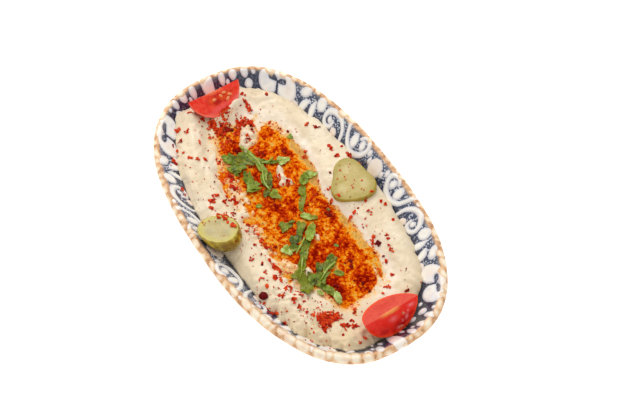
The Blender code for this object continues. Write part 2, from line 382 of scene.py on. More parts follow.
def wall_height(inset):
    """Height of the inner side above a point at this inset: wall, round corner, then floor."""
    wall = WALL_TOP_HEIGHT - (inset - WALL_TOP_INSET) * math.tan(WALL_SLOPE)
    reach = np.clip(FLOOR_EDGE - inset, 0, FLOOR_FILLET)
    corner = FLOOR_TOP + FLOOR_FILLET - np.sqrt(FLOOR_FILLET**2 - reach**2)
    return np.where(inset < FILLET_START, wall, corner)


even_turns = np.linspace(0, math.tau, 8001)
sample_x, sample_y = ring(even_turns, np.full(even_turns.shape, SAMPLE_INSET))
lengths = np.concatenate([[0], np.cumsum(np.hypot(np.diff(sample_x), np.diff(sample_y)))])
ROUND = lengths[-1]


def turn_at(length):
    """The angle that lies this far round the wall, anticlockwise from the right end."""
    return np.interp(np.mod(length, ROUND), lengths, even_turns)


print("round the wall:", round(ROUND, 1), "mm, floor edge inset:", round(FLOOR_EDGE, 1), "mm")

# %% The profile, as insets and heights


def dish_profile():
    """Points from the middle of the floor up the inner wall, over the lip and down to the underside."""
    inner = [HALF_WIDTH, (HALF_WIDTH + FLOOR_EDGE) / 2]
    inner += list(np.linspace(FLOOR_EDGE, FILLET_START, 6))
    inner += list(np.linspace(FILLET_START, 17.0, 5))[1:]
    inner += list(np.linspace(17.0, WALL_TOP_INSET, 44))[1:]
    points = [(inset, float(wall_height(np.array(inset)))) for inset in inner]
    for turn in np.linspace(math.pi / 2 - WALL_SLOPE, math.pi + math.radians(40), 15)[1:]:
        points.append((LIP_CENTRE[0] + LIP_RADIUS * math.cos(turn), LIP_CENTRE[1] + LIP_RADIUS * math.sin(turn)))
    shift = WALL_TOP_INSET - WALL_THICKNESS / math.sin(WALL_SLOPE)
    for height in (31.0, 29.0, 24.0, 18.0, 12.0, 7.0, FOOT_HEIGHT):
        points.append((shift + (WALL_TOP_HEIGHT - height) / math.tan(WALL_SLOPE), height))
    foot = points[-1][0]
    foot_ring = ((0.2, 1.0), (0.7, 0.3), (1.2, 0.0), (5.6, 0.0), (6.1, 0.3), (6.6, 1.0), (7.8, 3.2), (8.6, 3.4))
    points += [(foot + inset, height) for inset, height in foot_ring]
    points.append((HALF_WIDTH, 3.4))
    return np.array(points)


profile = dish_profile()
on_lip = int(np.argmin(np.abs(profile[:, 0] - WALL_TOP_INSET) + np.abs(profile[:, 1] - WALL_TOP_HEIGHT)))
skin_length = np.concatenate([[0], np.cumsum(np.hypot(*np.diff(profile, axis=0).T))])
profile_across = np.where(
    np.arange(len(profile)) <= on_lip, profile[:, 0], WALL_TOP_INSET - (skin_length - skin_length[on_lip])
)
profile_slope = np.gradient(profile, axis=0)
profile_slope /= np.hypot(profile_slope[:, 0], profile_slope[:, 1])[:, None]
print("profile:", len(profile), "points")

# %% [markdown]
# ## Painting the scrolls
# The inner wall has a traditional hand-painted border: white slip spots, curls and petals on navy,
# mirrored about the middle of each side and each end. It could be an image, but brush strokes drawn as
# distances stay sharp at any size and can also be raised a little, as thick slip is. For every corner
# of the wall, each mark gives its distance in millimetres, below zero inside the mark, and the nearest
# mark wins. One quarter of the border is laid out, and folding the wall four ways paints the rest.

# %% Brush marks as distances


def spot(along, across, centre, half, tilt=0.0):
    """Distance from an oval spot."""
    turn = math.radians(tilt)
    right = along - centre[0]
    up = across - centre[1]
    a = (right * math.cos(turn) + up * math.sin(turn)) / half[0]
    b = (up * math.cos(turn) - right * math.sin(turn)) / half[1]
    return (np.hypot(a, b) - 1) * min(half)


def stroke(along, across, points):
    """Distance from a brush stroke through points (along, across, half width)."""
    nearest = np.full(along.shape, 99.0)
    for x, y, half_width in smooth_line(points, 14):
        nearest = np.minimum(nearest, np.hypot(along - x, across - y) - half_width)
    return nearest


# %% One quarter of the border
# Places are (distance from the middle of the side, distance in from the rim).
SPOTS = [
    ((0, 8.8), (5.0, 4.0), 0), ((5.8, 8.4), (1.2, 1.4), 0), ((8.4, 6.0), (1.4, 1.6), 0),
    ((15.2, 6.4), (2.0, 2.3), 10), ((21.8, 7.2), (2.6, 3.1), 0), ((34.0, 2.2), (1.5, 1.0), 0),
    ((37.6, 11.8), (2.3, 1.7), 0), ((42.9, 8.6), (1.5, 1.4), 0), ((51.4, 5.9), (3.2, 2.9), 15),
    ((69.0, 11.8), (2.4, 1.6), 0), ((63.4, 5.0), (3.8, 2.0), 25), ((75.8, 7.8), (6.3, 5.2), -12),
    ((87.2, 6.6), (5.9, 5.4), 14), ((81.6, 2.6), (4.4, 2.0), 0), ((99.0, 8.9), (2.4, 2.0), 20),
    ((101.0, 4.1), (2.0, 2.7), 0), ((107.4, 4.6), (2.1, 2.5), 0), ((110.6, 7.4), (1.0, 1.2), 0),
    ((105.0, 11.2), (2.2, 1.5), 0), ((113.6, 5.2), (1.9, 3.2), 0), ((116.0, 10.2), (1.2, 1.9), 0),
    ((94.0, 11.7), (1.4, 1.0), 0), ((96.0, 4.2), (1.1, 1.0), 0), ((112.0, 12.0), (1.0, 1.1), 0),
]
STROKES = [
    # a round scroll that hangs from the lip and curls over a spot
    [(29.6, 0.5, 1.3), (28.8, 5.5, 1.2), (26.0, 9.8, 1.3), (20.5, 11.8, 1.4), (14.2, 10.4, 1.4),
     (10.9, 6.4, 1.3), (12.0, 3.2, 1.2), (15.2, 2.5, 1.0), (18.0, 4.6, 0.8)],
    # an arch that winds in on itself
    [(31.2, 13.2, 1.0), (32.3, 8.4, 1.2), (36.0, 4.9, 1.4), (41.0, 4.2, 1.4), (45.6, 6.4, 1.3),
     (47.0, 9.4, 1.2), (44.8, 11.6, 1.2), (41.4, 11.0, 1.0), (40.4, 8.8, 0.9)],
    # a pair of leaves
    [(56.3, 13.0, 1.7), (56.2, 9.6, 1.9), (55.6, 6.0, 0.5)],
    [(65.2, 12.9, 1.6), (62.6, 9.8, 1.9), (59.6, 7.4, 0.5)],
    # the fan petal at the middle of each end
    [(122.8, 1.0, 3.3), (122.8, 6.0, 3.4), (122.8, 11.5, 2.2)],
]
PETAL_STEMS = [
    [(81.9, 13.5, 0.9), (81.8, 9.0, 0.7), (81.6, 6.0, 0.6)],
    [(81.4, 6.2, 0.4), (79.4, 5.8, 1.2), (77.4, 5.6, 1.1)],
    [(81.8, 5.8, 0.4), (84.0, 4.8, 1.2), (86.2, 4.6, 1.0)],
]
PEACH_SPOTS = [((0, 8.8), 6.0), ((37.6, 11.8), 3.0), ((69.0, 11.8), 3.0), ((75.2, 8.0), 3.0), ((82.0, 1.6), 4.0)]


def border_distance(along, across):
    """Distance from the white marks of the border, below zero inside them."""
    nearest = np.full(along.shape, 99.0)
    for centre, half, tilt in SPOTS:
        nearest = np.minimum(nearest, spot(along, across, centre, half, tilt))
    for points in STROKES:
        nearest = np.minimum(nearest, stroke(along, across, points))
    for points in PETAL_STEMS:
        nearest = np.maximum(nearest, -stroke(along, across, points))
    return nearest


def fold(length):
    """Distance from the middle of the nearer long side, which mirrors the border four ways."""
    return np.abs(np.mod(length, ROUND / 2) - ROUND / 4)


# %% [markdown]
# The lip has its own row of cream daubs on a tan ground, each a little different, laid by hand so
# close that only thin tan lines stay between them.

# %% Daubs along the lip


def lip_spread(x, y):
    """The lip's band is painted wider round the near right of the dish: 1 there and 0 elsewhere."""
    return smooth_step(10, 50, x) * smooth_step(-4, -30, y)


def lip_daubs():
    """Places, half sizes and tilts of the daubs, spaced unevenly round the lip."""
    chance = np.random.default_rng(12)
    daubs = []
    length = 0.0
    while length < ROUND - 4.0:
        spread = lip_spread(*ring(turn_at(length), 0.0))
        half = chance.uniform(1.0, 3.8) + chance.uniform(0.2, 1.6) * spread
        centre = (length + half, chance.uniform(-0.6, 1.8) + chance.uniform(1.2, 2.4) * spread)
        tilt = chance.uniform(-40, 40) * (1 - 0.4 * spread)
        daubs.append((centre, (half, chance.uniform(1.2, 2.7) + 2.0 * spread), tilt))
        length += 2 * half + chance.uniform(-0.4, 2.0) - 0.9 * spread
    return daubs


def daub_distance(length, across):
    nearest = np.full(length.shape, 99.0)
    for centre, half, tilt in lip_daubs():
        close = np.abs(length - centre[0]) < 10.0
        nearest[close] = np.minimum(nearest[close], spot(length[close], across[close], centre, half, tilt))
    return nearest


# %% [markdown]
# ## Turning the dish
# The profile is drawn by extruding one corner again and again, and a Screw modifier sweeps it once
# round, as a wheel would. Each corner keeps the number of its profile point, so a formula can then move
# the round shape out to the oval, let the lip wander as a handmade one does, and raise the slip.

# %% Draw the profile and sweep it
WHEEL_STEPS = 1080


def draw_profile(points):
    bpy.ops.object.select_all(action="DESELECT")
    bpy.ops.mesh.primitive_plane_add(size=MM, location=(0, 0, 0))
    line = bpy.context.object
    bpy.ops.object.mode_set(mode="EDIT")
    bpy.ops.mesh.select_mode(type="VERT")
    bpy.ops.mesh.select_all(action="SELECT")
    bpy.ops.mesh.merge(type="CENTER")
    start = Vector((HALF_WIDTH - points[0][0], 0, points[0][1])) * MM
    bpy.ops.transform.translate(value=start)
    for here, there in zip(points, points[1:]):
        move = Vector((here[0] - there[0], 0, there[1] - here[1])) * MM
        bpy.ops.mesh.extrude_region_move(TRANSFORM_OT_translate={"value": move})
    bpy.ops.object.mode_set(mode="OBJECT")
    return line


def match_profile(line, points):
    """The number of the profile point at each corner of the drawn line."""
    places = corners_of(line)
    drawn = np.stack([HALF_WIDTH - places[:, 0], places[:, 2]], axis=1)
    gaps = np.linalg.norm(drawn[:, None, :] - points[None, :, :], axis=2)
    return gaps.argmin(axis=1)


dish = draw_profile(profile)
dish.name = "dish_glazed"
store(dish, "profile_point", match_profile(dish, profile))
sweep = dish.modifiers.new("wheel", "SCREW")
sweep.steps = WHEEL_STEPS
sweep.render_steps = WHEEL_STEPS
sweep.use_merge_vertices = True
sweep.merge_threshold = 0.001 * MM
select_only(dish)
bpy.ops.object.modifier_apply(modifier="wheel")
print("swept dish:", len(dish.data.vertices), "corners")

# %% Move it out to the oval, with its slip and its wandering lip
point_number = stored(dish, "profile_point").round().astype(int)
places = corners_of(dish)
length = np.mod(np.arctan2(places[:, 1], places[:, 0]), math.tau) / math.tau * ROUND
across = profile_across[point_number]
painted = (across < 17.5) & (across > -6.0)

hand = np.zeros((2, len(across)))
for row, seed in enumerate((21, 22)):
    hand[row] = 0.45 * hills(length, across, 9.0, seed) + 0.15 * hills(length, across, 3.0, seed + 5)
mark = np.full(across.shape, 9.0)
mark[painted] = border_distance(fold(length[painted] + hand[0][painted]), across[painted] + hand[1][painted])
daub = np.full(across.shape, 9.0)
daub[painted] = daub_distance(length[painted] + hand[0][painted], across[painted] + hand[1][painted])
peach = np.zeros(across.shape)
for centre, reach in PEACH_SPOTS:
    peach += np.exp(-((fold(length) - centre[0]) ** 2 + (across - centre[1]) ** 2) / reach**2)

raised = 0.35 * smooth_step(0.35, -0.9, mark) * smooth_step(2.0, 4.0, across) * smooth_step(0.3, -0.3, -daub)
raised += 0.13 * smooth_step(0.3, -0.8, daub)
raised += 0.08 * layered_hills(length, across, 2.5, 31)
raised *= painted
near_lip = smooth_step(9.0, 2.0, across) * smooth_step(-14.0, -4.0, across)
turn_round = length / ROUND * math.tau
wander = 0.5 * layered_hills(np.cos(turn_round) * 60, np.sin(turn_round) * 60, 26.0, 41, 2) * near_lip
sway = 0.45 * layered_hills(np.cos(turn_round) * 60, np.sin(turn_round) * 60, 30.0, 51, 2) * near_lip
inset = profile[point_number, 0] + profile_slope[point_number, 1] * raised + wander
height = profile[point_number, 1] - profile_slope[point_number, 0] * raised + sway
inset = np.where(point_number == 0, profile[0, 0], inset)
x, y = ring(turn_at(length), np.minimum(inset, HALF_WIDTH))
move_corners(dish, x, y, height)
print("highest slip:", round(float(raised.max()), 2), "mm, lip wanders", round(float(np.ptp(wander)), 2), "mm")

# %% Close the poles and keep what the glaze reads
store(dish, "mark", mark)
store(dish, "daub", daub)
store(dish, "across", across)
store(dish, "lip_band", across - 3.6 * lip_spread(x, y))
store(dish, "peach", peach)
store(dish, "end", smooth_step(60.0, 92.0, fold(length)))
tidy_skin(dish)

# %% [markdown]
# ## The glaze
# The border is navy pigment and white slip under one clear glossy glaze. Thin glaze breaks to tan
# where it runs off the lip, the long sides are a lighter navy dabbed with fine pale stipple between the
# scrolls, partly the border's own pattern and partly painted reflection, the navy is painted darker as
# shade low on the wall where the hummus meets it, and the outside is plain ivory down to a bare foot
# ring.

# %% Glaze finish


def glaze_finish():
    glaze = Finish("glazed_ceramic", {"Roughness": 0.16, "Coat Weight": 0.4, "Coat Roughness": 0.08})
    mark = glaze.stored("mark")
    daub = glaze.stored("daub")
    across = glaze.stored("across")
    lip_band = glaze.stored("lip_band")
    peach = glaze.stored("peach")
    end = glaze.stored("end")
    brush = glaze.grain(1.4, 3) - 0.5
    cloud = glaze.grain(9, 3)

    # The long sides are a lighter navy with pale stipple and the ends are darker and plainer: partly the pattern,
    # partly painted reflection of the glaze.
    navy = glaze.mix(end, colour(62, 74, 104), colour(38, 46, 74))
    navy = glaze.mix(glaze.step(0.35, 0.7, glaze.grain(3, 3)) * 0.5, navy, colour(22, 26, 42))
    # Painted shade: low on the wall, where the hummus meets it, the navy is darker and the stipple fades.
    low = glaze.step(8.0, 12.0, across + (cloud - 0.5) * 4)
    navy = glaze.mix(low * 0.7, navy, colour(34, 40, 64))
    dots = glaze.step(0.52, 0.3, glaze.cells(1.3)) * glaze.step(0.36, 0.5, glaze.grain(6, 2)) * (1 - low * 0.8)
    navy = glaze.mix(dots * (1 - end * 0.85) * 0.85, navy, colour(222, 226, 234))
    breaking = glaze.step(6.0, 3.2, lip_band + (cloud - 0.5) * 3)
    ground = glaze.mix(breaking * 0.5, navy, colour(170, 168, 170))
    tan = glaze.mix(glaze.step(0.35, 0.65, glaze.grain(3, 3)), colour(186, 130, 82), colour(226, 178, 130))
    ground = glaze.mix(glaze.step(4.2, 2.8, lip_band + brush * 1.6), ground, tan)

    slip = glaze.mix(glaze.step(-0.1, -1.3, mark), colour(224, 222, 226), colour(255, 252, 242))
    slip = glaze.mix(peach * (0.75 - end * 0.6), slip, colour(248, 224, 204))
    slip = glaze.mix(end * glaze.step(0.4, 0.7, glaze.grain(5, 2)) * 0.4, slip, colour(212, 214, 232))
    slip = glaze.mix(glaze.step(5.0, 1.5, across) * 0.6, slip, colour(246, 230, 212))
    inside = glaze.mix(glaze.step(0.22, -0.18, mark + brush * 0.5), ground, slip)
    cream = glaze.mix(glaze.step(0.1, -1.5, daub + brush), colour(232, 190, 142), colour(250, 236, 210))
    cream = glaze.mix(glaze.step(0.5, 0.65, cloud) * 0.6, cream, colour(238, 200, 168))
    worn = daub + brush * 1.6 + (cloud - 0.5) * 3.0
    inside = glaze.mix(glaze.step(0.2, -0.15, worn), inside, cream)

    ivory = glaze.mix(cloud, colour(192, 178, 154), colour(206, 193, 170))
    outside = glaze.mix(glaze.step(-6.0, -3.6, across + brush), ivory, tan)
    shown = glaze.mix(glaze.step(-3.4, -2.8, across + brush), outside, inside)
    bare = glaze.step(-40.5, -41.5, across) * glaze.step(-50.5, -49.5, across)
    shown = glaze.mix(bare, shown, colour(205, 186, 160))
    glaze.set("Base Color", shown)
    lip = glaze.step(5.0, 3.0, across) * glaze.step(-9.0, -6.0, across)
    glaze.set("Roughness", 0.16 + bare * 0.6 + lip * 0.26)
    glaze.set("Coat Weight", 0.35 - bare * 0.35 - lip * 0.3)
    glaze.relief(glaze.grain(5, 2) * 0.7 + glaze.grain(0.5, 1) * bare * 0.3, 0.12)
    return glaze


print("foot ring lies from", profile_across[-9:-2].round(1), "across")
wear(dish, glaze_finish(), "glaze", "dish")

# %% [markdown]
# ## The pool's shore
# The hummus leans on the wall all round and falls to a trough that was pushed out with the back of a
# spoon. Its shore is drawn as one smooth closed line through a few places; every other height follows
# from how far out a point is, as a share of the distance from the middle to that shore.

# %% Heights of the hummus
CREST = 29.5
TROUGH_FLOOR = 21.5
OIL_LEVEL = 24.8
POOL_CENTRE = (1.3, 0.8)
SHORE = [
    (65, 1), (63, 14), (57, 20.5), (46, 23), (17, 22.5), (-3, 19.5), (-27, 26), (-46, 25), (-58, 21),
    (-65, 15), (-69, 8), (-73, 1), (-73, -6), (-65, -12), (-52, -16), (-42, -18), (-31, -21.5), (-8, -23),
    (12, -23.5), (26, -24), (37, -20), (48, -15), (60, -11.5), (64.5, -7),
]
shore_line = smooth_line(SHORE, 16, closed=True) - np.array(POOL_CENTRE)
shore_angles = np.mod(np.arctan2(shore_line[:, 1], shore_line[:, 0]), math.tau)
shore_order = np.argsort(shore_angles)


def shore_reach(angle):
    """Distance from the pool's centre to its shore in a direction."""
    reach = np.hypot(shore_line[:, 0], shore_line[:, 1])
    return np.interp(np.mod(angle, math.tau), shore_angles[shore_order], reach[shore_order], period=math.tau)


def pool_share(x, y):
    """0 at the pool's centre and 1 on its shore."""
    right = x - POOL_CENTRE[0]
    up = y - POOL_CENTRE[1]
    return np.hypot(right, up) / shore_reach(np.arctan2(up, right))


def inset_at(x, y):
    """How far in from the rim a place lies."""
    low = np.full(x.shape, -5.0)
    high = np.full(x.shape, HALF_WIDTH)
    for _ in range(24):
        middle = (low + high) / 2
        half_width = np.maximum(HALF_WIDTH - middle, 0.01)
        half_length = np.maximum(HALF_LENGTH - middle, 0.01)
        beyond = (np.abs(x) / half_length) ** OVAL_POWER + (np.abs(y) / half_width) ** OVAL_POWER > 1
        high = np.where(beyond, middle, high)
        low = np.where(beyond, low, middle)
    return (low + high) / 2


# %% [markdown]
# The paste was dropped in with a spoon and smoothed along the dish: long strokes on the left, torn
# lumps on the right, a few islands that stand out of the oil, and an edge that climbs the wall unevenly.

# %% Spoon work on the surface
# Each climb is (angle in degrees, how far the edge climbs, how wide in degrees).
EDGE_CLIMBS = [(5, -3.2, 9), (-157, 3.6, 7), (-38, 3.2, 7), (-18, 2.0, 8), (27, -2.4, 12), (-55, 1.0, 10), (-84, -0.8, 8)]
# Each lump is (place, half sizes, tilt in degrees, height).
LUMPS = [
    ((-58, 5), (9.5, 5), -35, 3.2), ((-61.5, 2), (9, 2.6), -48, 4.0), ((-52, -2), (5, 2), -8, 3.0), ((-31, 8.5), (5.6, 3.4), -20, 4.8),
    ((-24, 5), (6.6, 3.2), -20, 4.8), ((-20, 9), (3.4, 2.4), 0, 4.2), ((18, 2), (5.4, 2.4), -10, 4.5),
    ((36, -14), (6, 2.4), -20, 3.6), ((17, -15), (4, 2), 0, 3.0),
    ((-81.6, 8.5), (4.4, 8), 20, 5.4), ((-79.6, -2), (4.2, 7.4), 6, 5.0), ((92, 5), (5, 15), 0, -3.4),
    ((-15, -20.5), (11, 3), 0, -1.5), ((38, -24), (7, 3), 0, -1.0), ((-78, -23), (12, 3), -25, 1.3),
    ((-66, -20), (17, 3.4), -24, -1.8), ((-58, -31), (18, 3.2), -20, 1.7), ((86, -17), (7, 6.5), 10, 1.9), ((80, -25), (3, 8), -35, -1.2), ((70, -34), (9, 4), 20, 1.2),
    ((52, -36), (7, 3.4), 10, 0.9), ((92, -22), (3, 6), -30, -1.0),
    ((52, 17.5), (8, 1.5), -12, 1.6), ((-86, -17), (5.5, 3.6), 20, 2.6), ((-8, -34), (10, 5), 10, 1.0),
    ((3, 27), (16, 4), -4, 1.0), ((70, 10), (4, 12), 15, 0.8), ((-7, -21.5), (15, 4), 0, -0.9),
    ((-40, 27.5), (20, 2.2), 3, 0.7), ((84, -25), (7, 5), 30, 1.2), ((60, -30), (9, 5), -20, 0.9),
    ((76, -37), (8, 4), 35, 1.3), ((28, -40), (9, 4), 12, 0.9), ((-52, -28), (16, 3.2), -14, 1.1),
    ((-64, -35), (14, 2.6), -18, 0.9), ((-36, -40), (16, 2.6), -8, 0.9), ((-75, 28), (8, 4), 30, 0.8),
]


def edge_inset(turn):
    """Where the hummus ends on the wall, in from the rim."""
    right = np.maximum(np.cos(turn), 0) ** 4
    left = np.maximum(-np.cos(turn), 0) ** 4
    edge = 12.4 - 1.2 * right - 2.6 * left
    for angle, climb, width in EDGE_CLIMBS:
        off = np.mod(turn - math.radians(angle) + math.pi, math.tau) - math.pi
        edge = edge - climb * np.exp(-(off / math.radians(width)) ** 2)
    ragged = layered_hills(np.cos(turn) * 90, np.sin(turn) * 90, 6.0, 61) * 1.5
    rough_side = smooth_step(20, 60, np.cos(turn) * 90) * smooth_step(0.2, -0.4, np.sin(turn))
    return edge + ragged * (0.35 + 0.9 * rough_side)


def beach(x, y):
    """1 where the near bank lies almost level with the oil, so that the two meet in patches."""
    share = pool_share(x, y)
    width = smooth_step(-66, -44, x) * smooth_step(58, 40, x)
    return smooth_step(0.7, 0.86, share) * smooth_step(1.34, 1.16, share) * smooth_step(-6, -14, y) * width


def spoon_marks(x, y):
    """Everything on the surface that isn't its main form."""
    relief = 0.55 * layered_hills(x, y, 22.0, 71, 2)
    relief += 0.3 * layered_hills(x * 0.35, y, 5.0, 72)
    stroked = smooth_step(10, -20, x) * smooth_step(-12, -20, y)
    lean = math.radians(18) + math.radians(14) * smooth_step(-40, -75, x)
    along = y * np.cos(lean) + x * np.sin(lean)
    relief += stroked * (1.3 * hills(x * 0.12, along, 5.5, 74) + 0.35 * hills(x * 0.2, along, 2.2, 75))
    torn = smooth_step(12, 42, x) * smooth_step(-20, -32, y) + smooth_step(72, 84, x) * smooth_step(0, -12, y)
    torn = np.clip(torn + 0.6 * smooth_step(-64, -74, x) * smooth_step(-14, -4, y), 0, 1)
    relief += torn * (2.4 * np.abs(hills(x, y, 7.5, 76)) + 1.3 * np.abs(hills(x, y, 3.8, 77)) - 0.7)
    relief += torn * 0.6 * hills(x, y, 1.9, 87)
    relief += 0.45 * np.abs(hills(x, y, 4.2, 78)) + 0.17 * layered_hills(x, y, 1.6, 79, 2)
    share = pool_share(x, y)
    near_shore = smooth_step(0.7, 0.95, share) * smooth_step(1.35, 1.05, share)
    relief *= 1 - 0.75 * near_shore * (1 - beach(x, y))
    relief += beach(x, y) * (1.1 * hills(x, y, 6.0, 83) + 1.0 * hills(x, y, 2.8, 84) + 0.5 * hills(x, y, 1.5, 86))
    ragged = 1 + 0.5 * hills(x, y, 2.6, 85) * smooth_step(1.15, 1.0, share)
    for centre, half, tilt, rise in LUMPS:
        relief += rise * mound(x, y, centre, half, tilt) * ragged
    return relief


def hummus_height(x, y, turn):
    share = pool_share(x, y) + 0.03 * layered_hills(x, y, 7.0, 81)
    crest = TROUGH_FLOOR + (CREST - TROUGH_FLOOR) * smooth_step(0.6, 1.5, share)
    crest += 0.8 * beach(x, y) * (OIL_LEVEL - 0.25 - crest)
    edge = edge_inset(turn)
    from_edge = np.maximum(inset_at(x, y) - edge, 0)
    drop = (1 - np.minimum(1.0, from_edge / 7.0)) ** 2
    top = crest + spoon_marks(x, y) * smooth_step(0.0, 3.5, from_edge)
    hem = wall_height(edge) + 0.75
    return top + (hem - top) * drop


# %% [markdown]
# ## The hummus
# A round sheet of even faces is wanted, without the pinched middle of a fan, so a square sheet is bent
# to a disc and the disc to the oval. Its rim is then extruded down the wall and under, which closes
# the body just inside the clay.

# %% Bend the sheet to the oval


def bend_to_disc(piece):
    """Distance from the middle (0 to 1) and angle of each corner of a square sheet bent to a disc."""
    places = corners_of(piece) * MM
    a = places[:, 0]
    b = places[:, 1]
    u = a * np.sqrt(1 - b**2 / 2)
    v = b * np.sqrt(1 - a**2 / 2)
    return np.minimum(np.hypot(u, v), 1.0), np.arctan2(v, u)


hummus = sheet_of_corners("hummus_spread", 300, 176)
out, angle = bend_to_disc(hummus)
turn = turn_at(angle / math.tau * ROUND)
edge_x, edge_y = ring(turn, edge_inset(turn))
x = edge_x * out
y = edge_y * out
z = hummus_height(x, y, turn)
z = np.where(out > 0.9999, wall_height(edge_inset(turn)) - 0.1, z)
move_corners(hummus, x, y, z)
print("crest in mm:", round(float(z.max()), 1), "trough:", round(float(z.min()), 1))

# %% Close it under the surface
select_only(hummus)
bpy.ops.object.mode_set(mode="EDIT")
bpy.ops.mesh.select_mode(type="EDGE")
bpy.ops.mesh.select_all(action="DESELECT")
bpy.ops.mesh.select_non_manifold()
for drop in (3.0, 8.0, 14.0, 24.0):
    bpy.ops.mesh.extrude_region_move()
    bpy.ops.object.mode_set(mode="OBJECT")
    places = corners_of(hummus)
    chosen = np.zeros(len(places), bool)
    hummus.data.vertices.foreach_get("select", chosen)
    here_x, here_y = places[chosen, 0], places[chosen, 1]
    deeper = np.maximum(inset_at(here_x, here_y), 0) + (drop if drop < 10 else drop * 0.5)
    half_width = (HALF_WIDTH - deeper) / HALF_WIDTH
    here_turn = np.arctan2(
        np.sign(here_y) * np.abs(here_y) ** (OVAL_POWER / 2) / HALF_WIDTH ** (OVAL_POWER / 2),
        np.sign(here_x) * np.abs(here_x) ** (OVAL_POWER / 2) / HALF_LENGTH ** (OVAL_POWER / 2),
    )
    places[chosen, 0], places[chosen, 1] = ring(here_turn, deeper)
    places[chosen, 2] = wall_height(deeper) + 0.2
    move_corners(hummus, *places.T)
    bpy.ops.object.mode_set(mode="EDIT")
bpy.ops.mesh.extrude_region_move()
bpy.ops.mesh.merge(type="CENTER")
bpy.ops.object.mode_set(mode="OBJECT")
tidy_skin(hummus)
places = corners_of(hummus)
print("hummus from", places.min(axis=0).round(1), "to", places.max(axis=0).round(1))

# %% [markdown]
# Hummus is a pale, warm, nearly matt paste with a fine grain of chickpea and a few dark specks. Round
# the pool it has drunk a little orange oil, which shows as a stain that fades outwards.

# %% Hummus finish
# Each stain is (place, half sizes, strength).
STAINS = [
    ((-69, -2), (6, 8), 1.0), ((-68, 8), (8, 4), 0.9), ((-76, -8), (6, 4), 0.6), ((-28, -22), (20, 5), 0.6),
    ((2, -23), (18, 4.6), 0.6), ((26, -25), (12, 4.6), 0.6), ((68, -22), (6, 8), 0.85), ((-78, 2), (5, 5), 0.6),
    ((-60, 16), (5, 6), 0.9), ((-24, 8), (6, 4), 0.35), ((-54, 7), (7, 4), 0.75), ((-29, -36), (3, 3), 0.5),
    ((-14, -35.5), (4, 2), 0.5), ((40, -29.5), (4, 2.5), 0.4), ((-40, -20), (8, 3), 0.5), ((66, 16), (2, 3), 0.5),
    ((54, 23), (7, 1.5), 0.5), ((-61, 20), (3, 2), 0.5), ((-15, 45), (4, 2), 0.4),
]


def hummus_stain(x, y, z):
    """Oil has crept a little way up from the pool, and lies round each heap of pepper."""
    near = smooth_step(4, -10, y)
    creep = 0.6 * layered_hills(x, y, 5.0, 91) + 0.4 * layered_hills(x, y, 2.0, 94)
    stain = smooth_step(26.0 + 1.4 * near, 24.9, z + creep) * smooth_step(1.34, 1.12, pool_share(x, y))
    for centre, half, strength in STAINS:
        stain = np.maximum(stain, strength * mound(x, y, centre, half))
    return stain


def hummus_finish():
    paste = Finish("hummus_paste", {"Roughness": 0.5, "Specular IOR Level": 0.3})
    cloud = paste.grain(12, 3)
    grain = paste.grain(1.3, 3, 0.6)
    base = paste.mix(paste.step(0.3, 0.7, cloud), colour(234, 214, 180), colour(248, 232, 204))
    base = paste.mix(paste.step(0.56, 0.75, grain) * 0.3, base, colour(214, 190, 150))
    # Painted shade: greyer and darker in the low places of the spoon marks.
    base = paste.mix(paste.stored("hollow") * 0.35, base, colour(219, 201, 169))
    # Painted shade, a little yellower, towards the right end and on the near right bank.
    base = paste.mix(paste.stored("warm") * 0.4, base, colour(220, 194, 146))
    speck = paste.step(0.13, 0.08, paste.cells(5.5)) * paste.step(0.5, 0.6, paste.grain(9, 1))
    base = paste.mix(speck * 0.7, base, colour(150, 120, 84))
    # By the shore on the far bank the paste is wetter and glossier, and is painted paler as a highlight.
    wet_edge = paste.stored("wet_edge")
    base = paste.mix(wet_edge * paste.step(0.3, 0.55, paste.grain(4, 2)) * 0.6, base, colour(255, 240, 224))
    stain = paste.stored("stain")
    tint = paste.step(0.25, 0.95, stain + (paste.grain(2.6, 3) - 0.5) * 1.3)
    base = paste.mix(tint * 0.75, base, colour(240, 176, 72))
    red = paste.step(0.8, 0.86, stain * 0.5 + paste.grain(1.5, 3, 0.6) * 0.66)
    base = paste.mix(red * 0.9, base, colour(212, 84, 10))
    paste.set("Base Color", base)
    paste.set("Roughness", 0.5 - tint * 0.25 - wet_edge * 0.15)
    paste.relief(grain * 0.6 + paste.grain(0.5, 2) * 0.4, 0.16)
    return paste


far_side = smooth_step(2, 14, places[:, 1])
share = pool_share(places[:, 0], places[:, 1])
store(hummus, "stain", hummus_stain(*places.T))
# A mask for painted shade in the low places of the spoon marks.
store(hummus, "hollow", smooth_step(0.9, -0.7, spoon_marks(places[:, 0], places[:, 1])))
# A mask for painted shade towards the right end and on the near right bank.
store(hummus, "warm", smooth_step(40, 84, places[:, 0]) + 0.5 * smooth_step(0, 40, places[:, 0]) * smooth_step(-30, -42, places[:, 1]))
# Just past the shore on the far bank: wetter paste, and a painted highlight.
store(hummus, "wet_edge", far_side * smooth_step(0.98, 1.06, share) * smooth_step(1.26, 1.1, share))
wear(hummus, hummus_finish(), "hummus", "hummus")

# %% [markdown]
# ## The pool of oil
# Oil is a flat, clear, yellow liquid. Paprika floats in it: thin where the oil looks golden, dense
# where it is orange, and clotted dark red in places. The pool is a flat slab that dips under the banks,
# so its ragged shore is simply where the hummus rises through it.

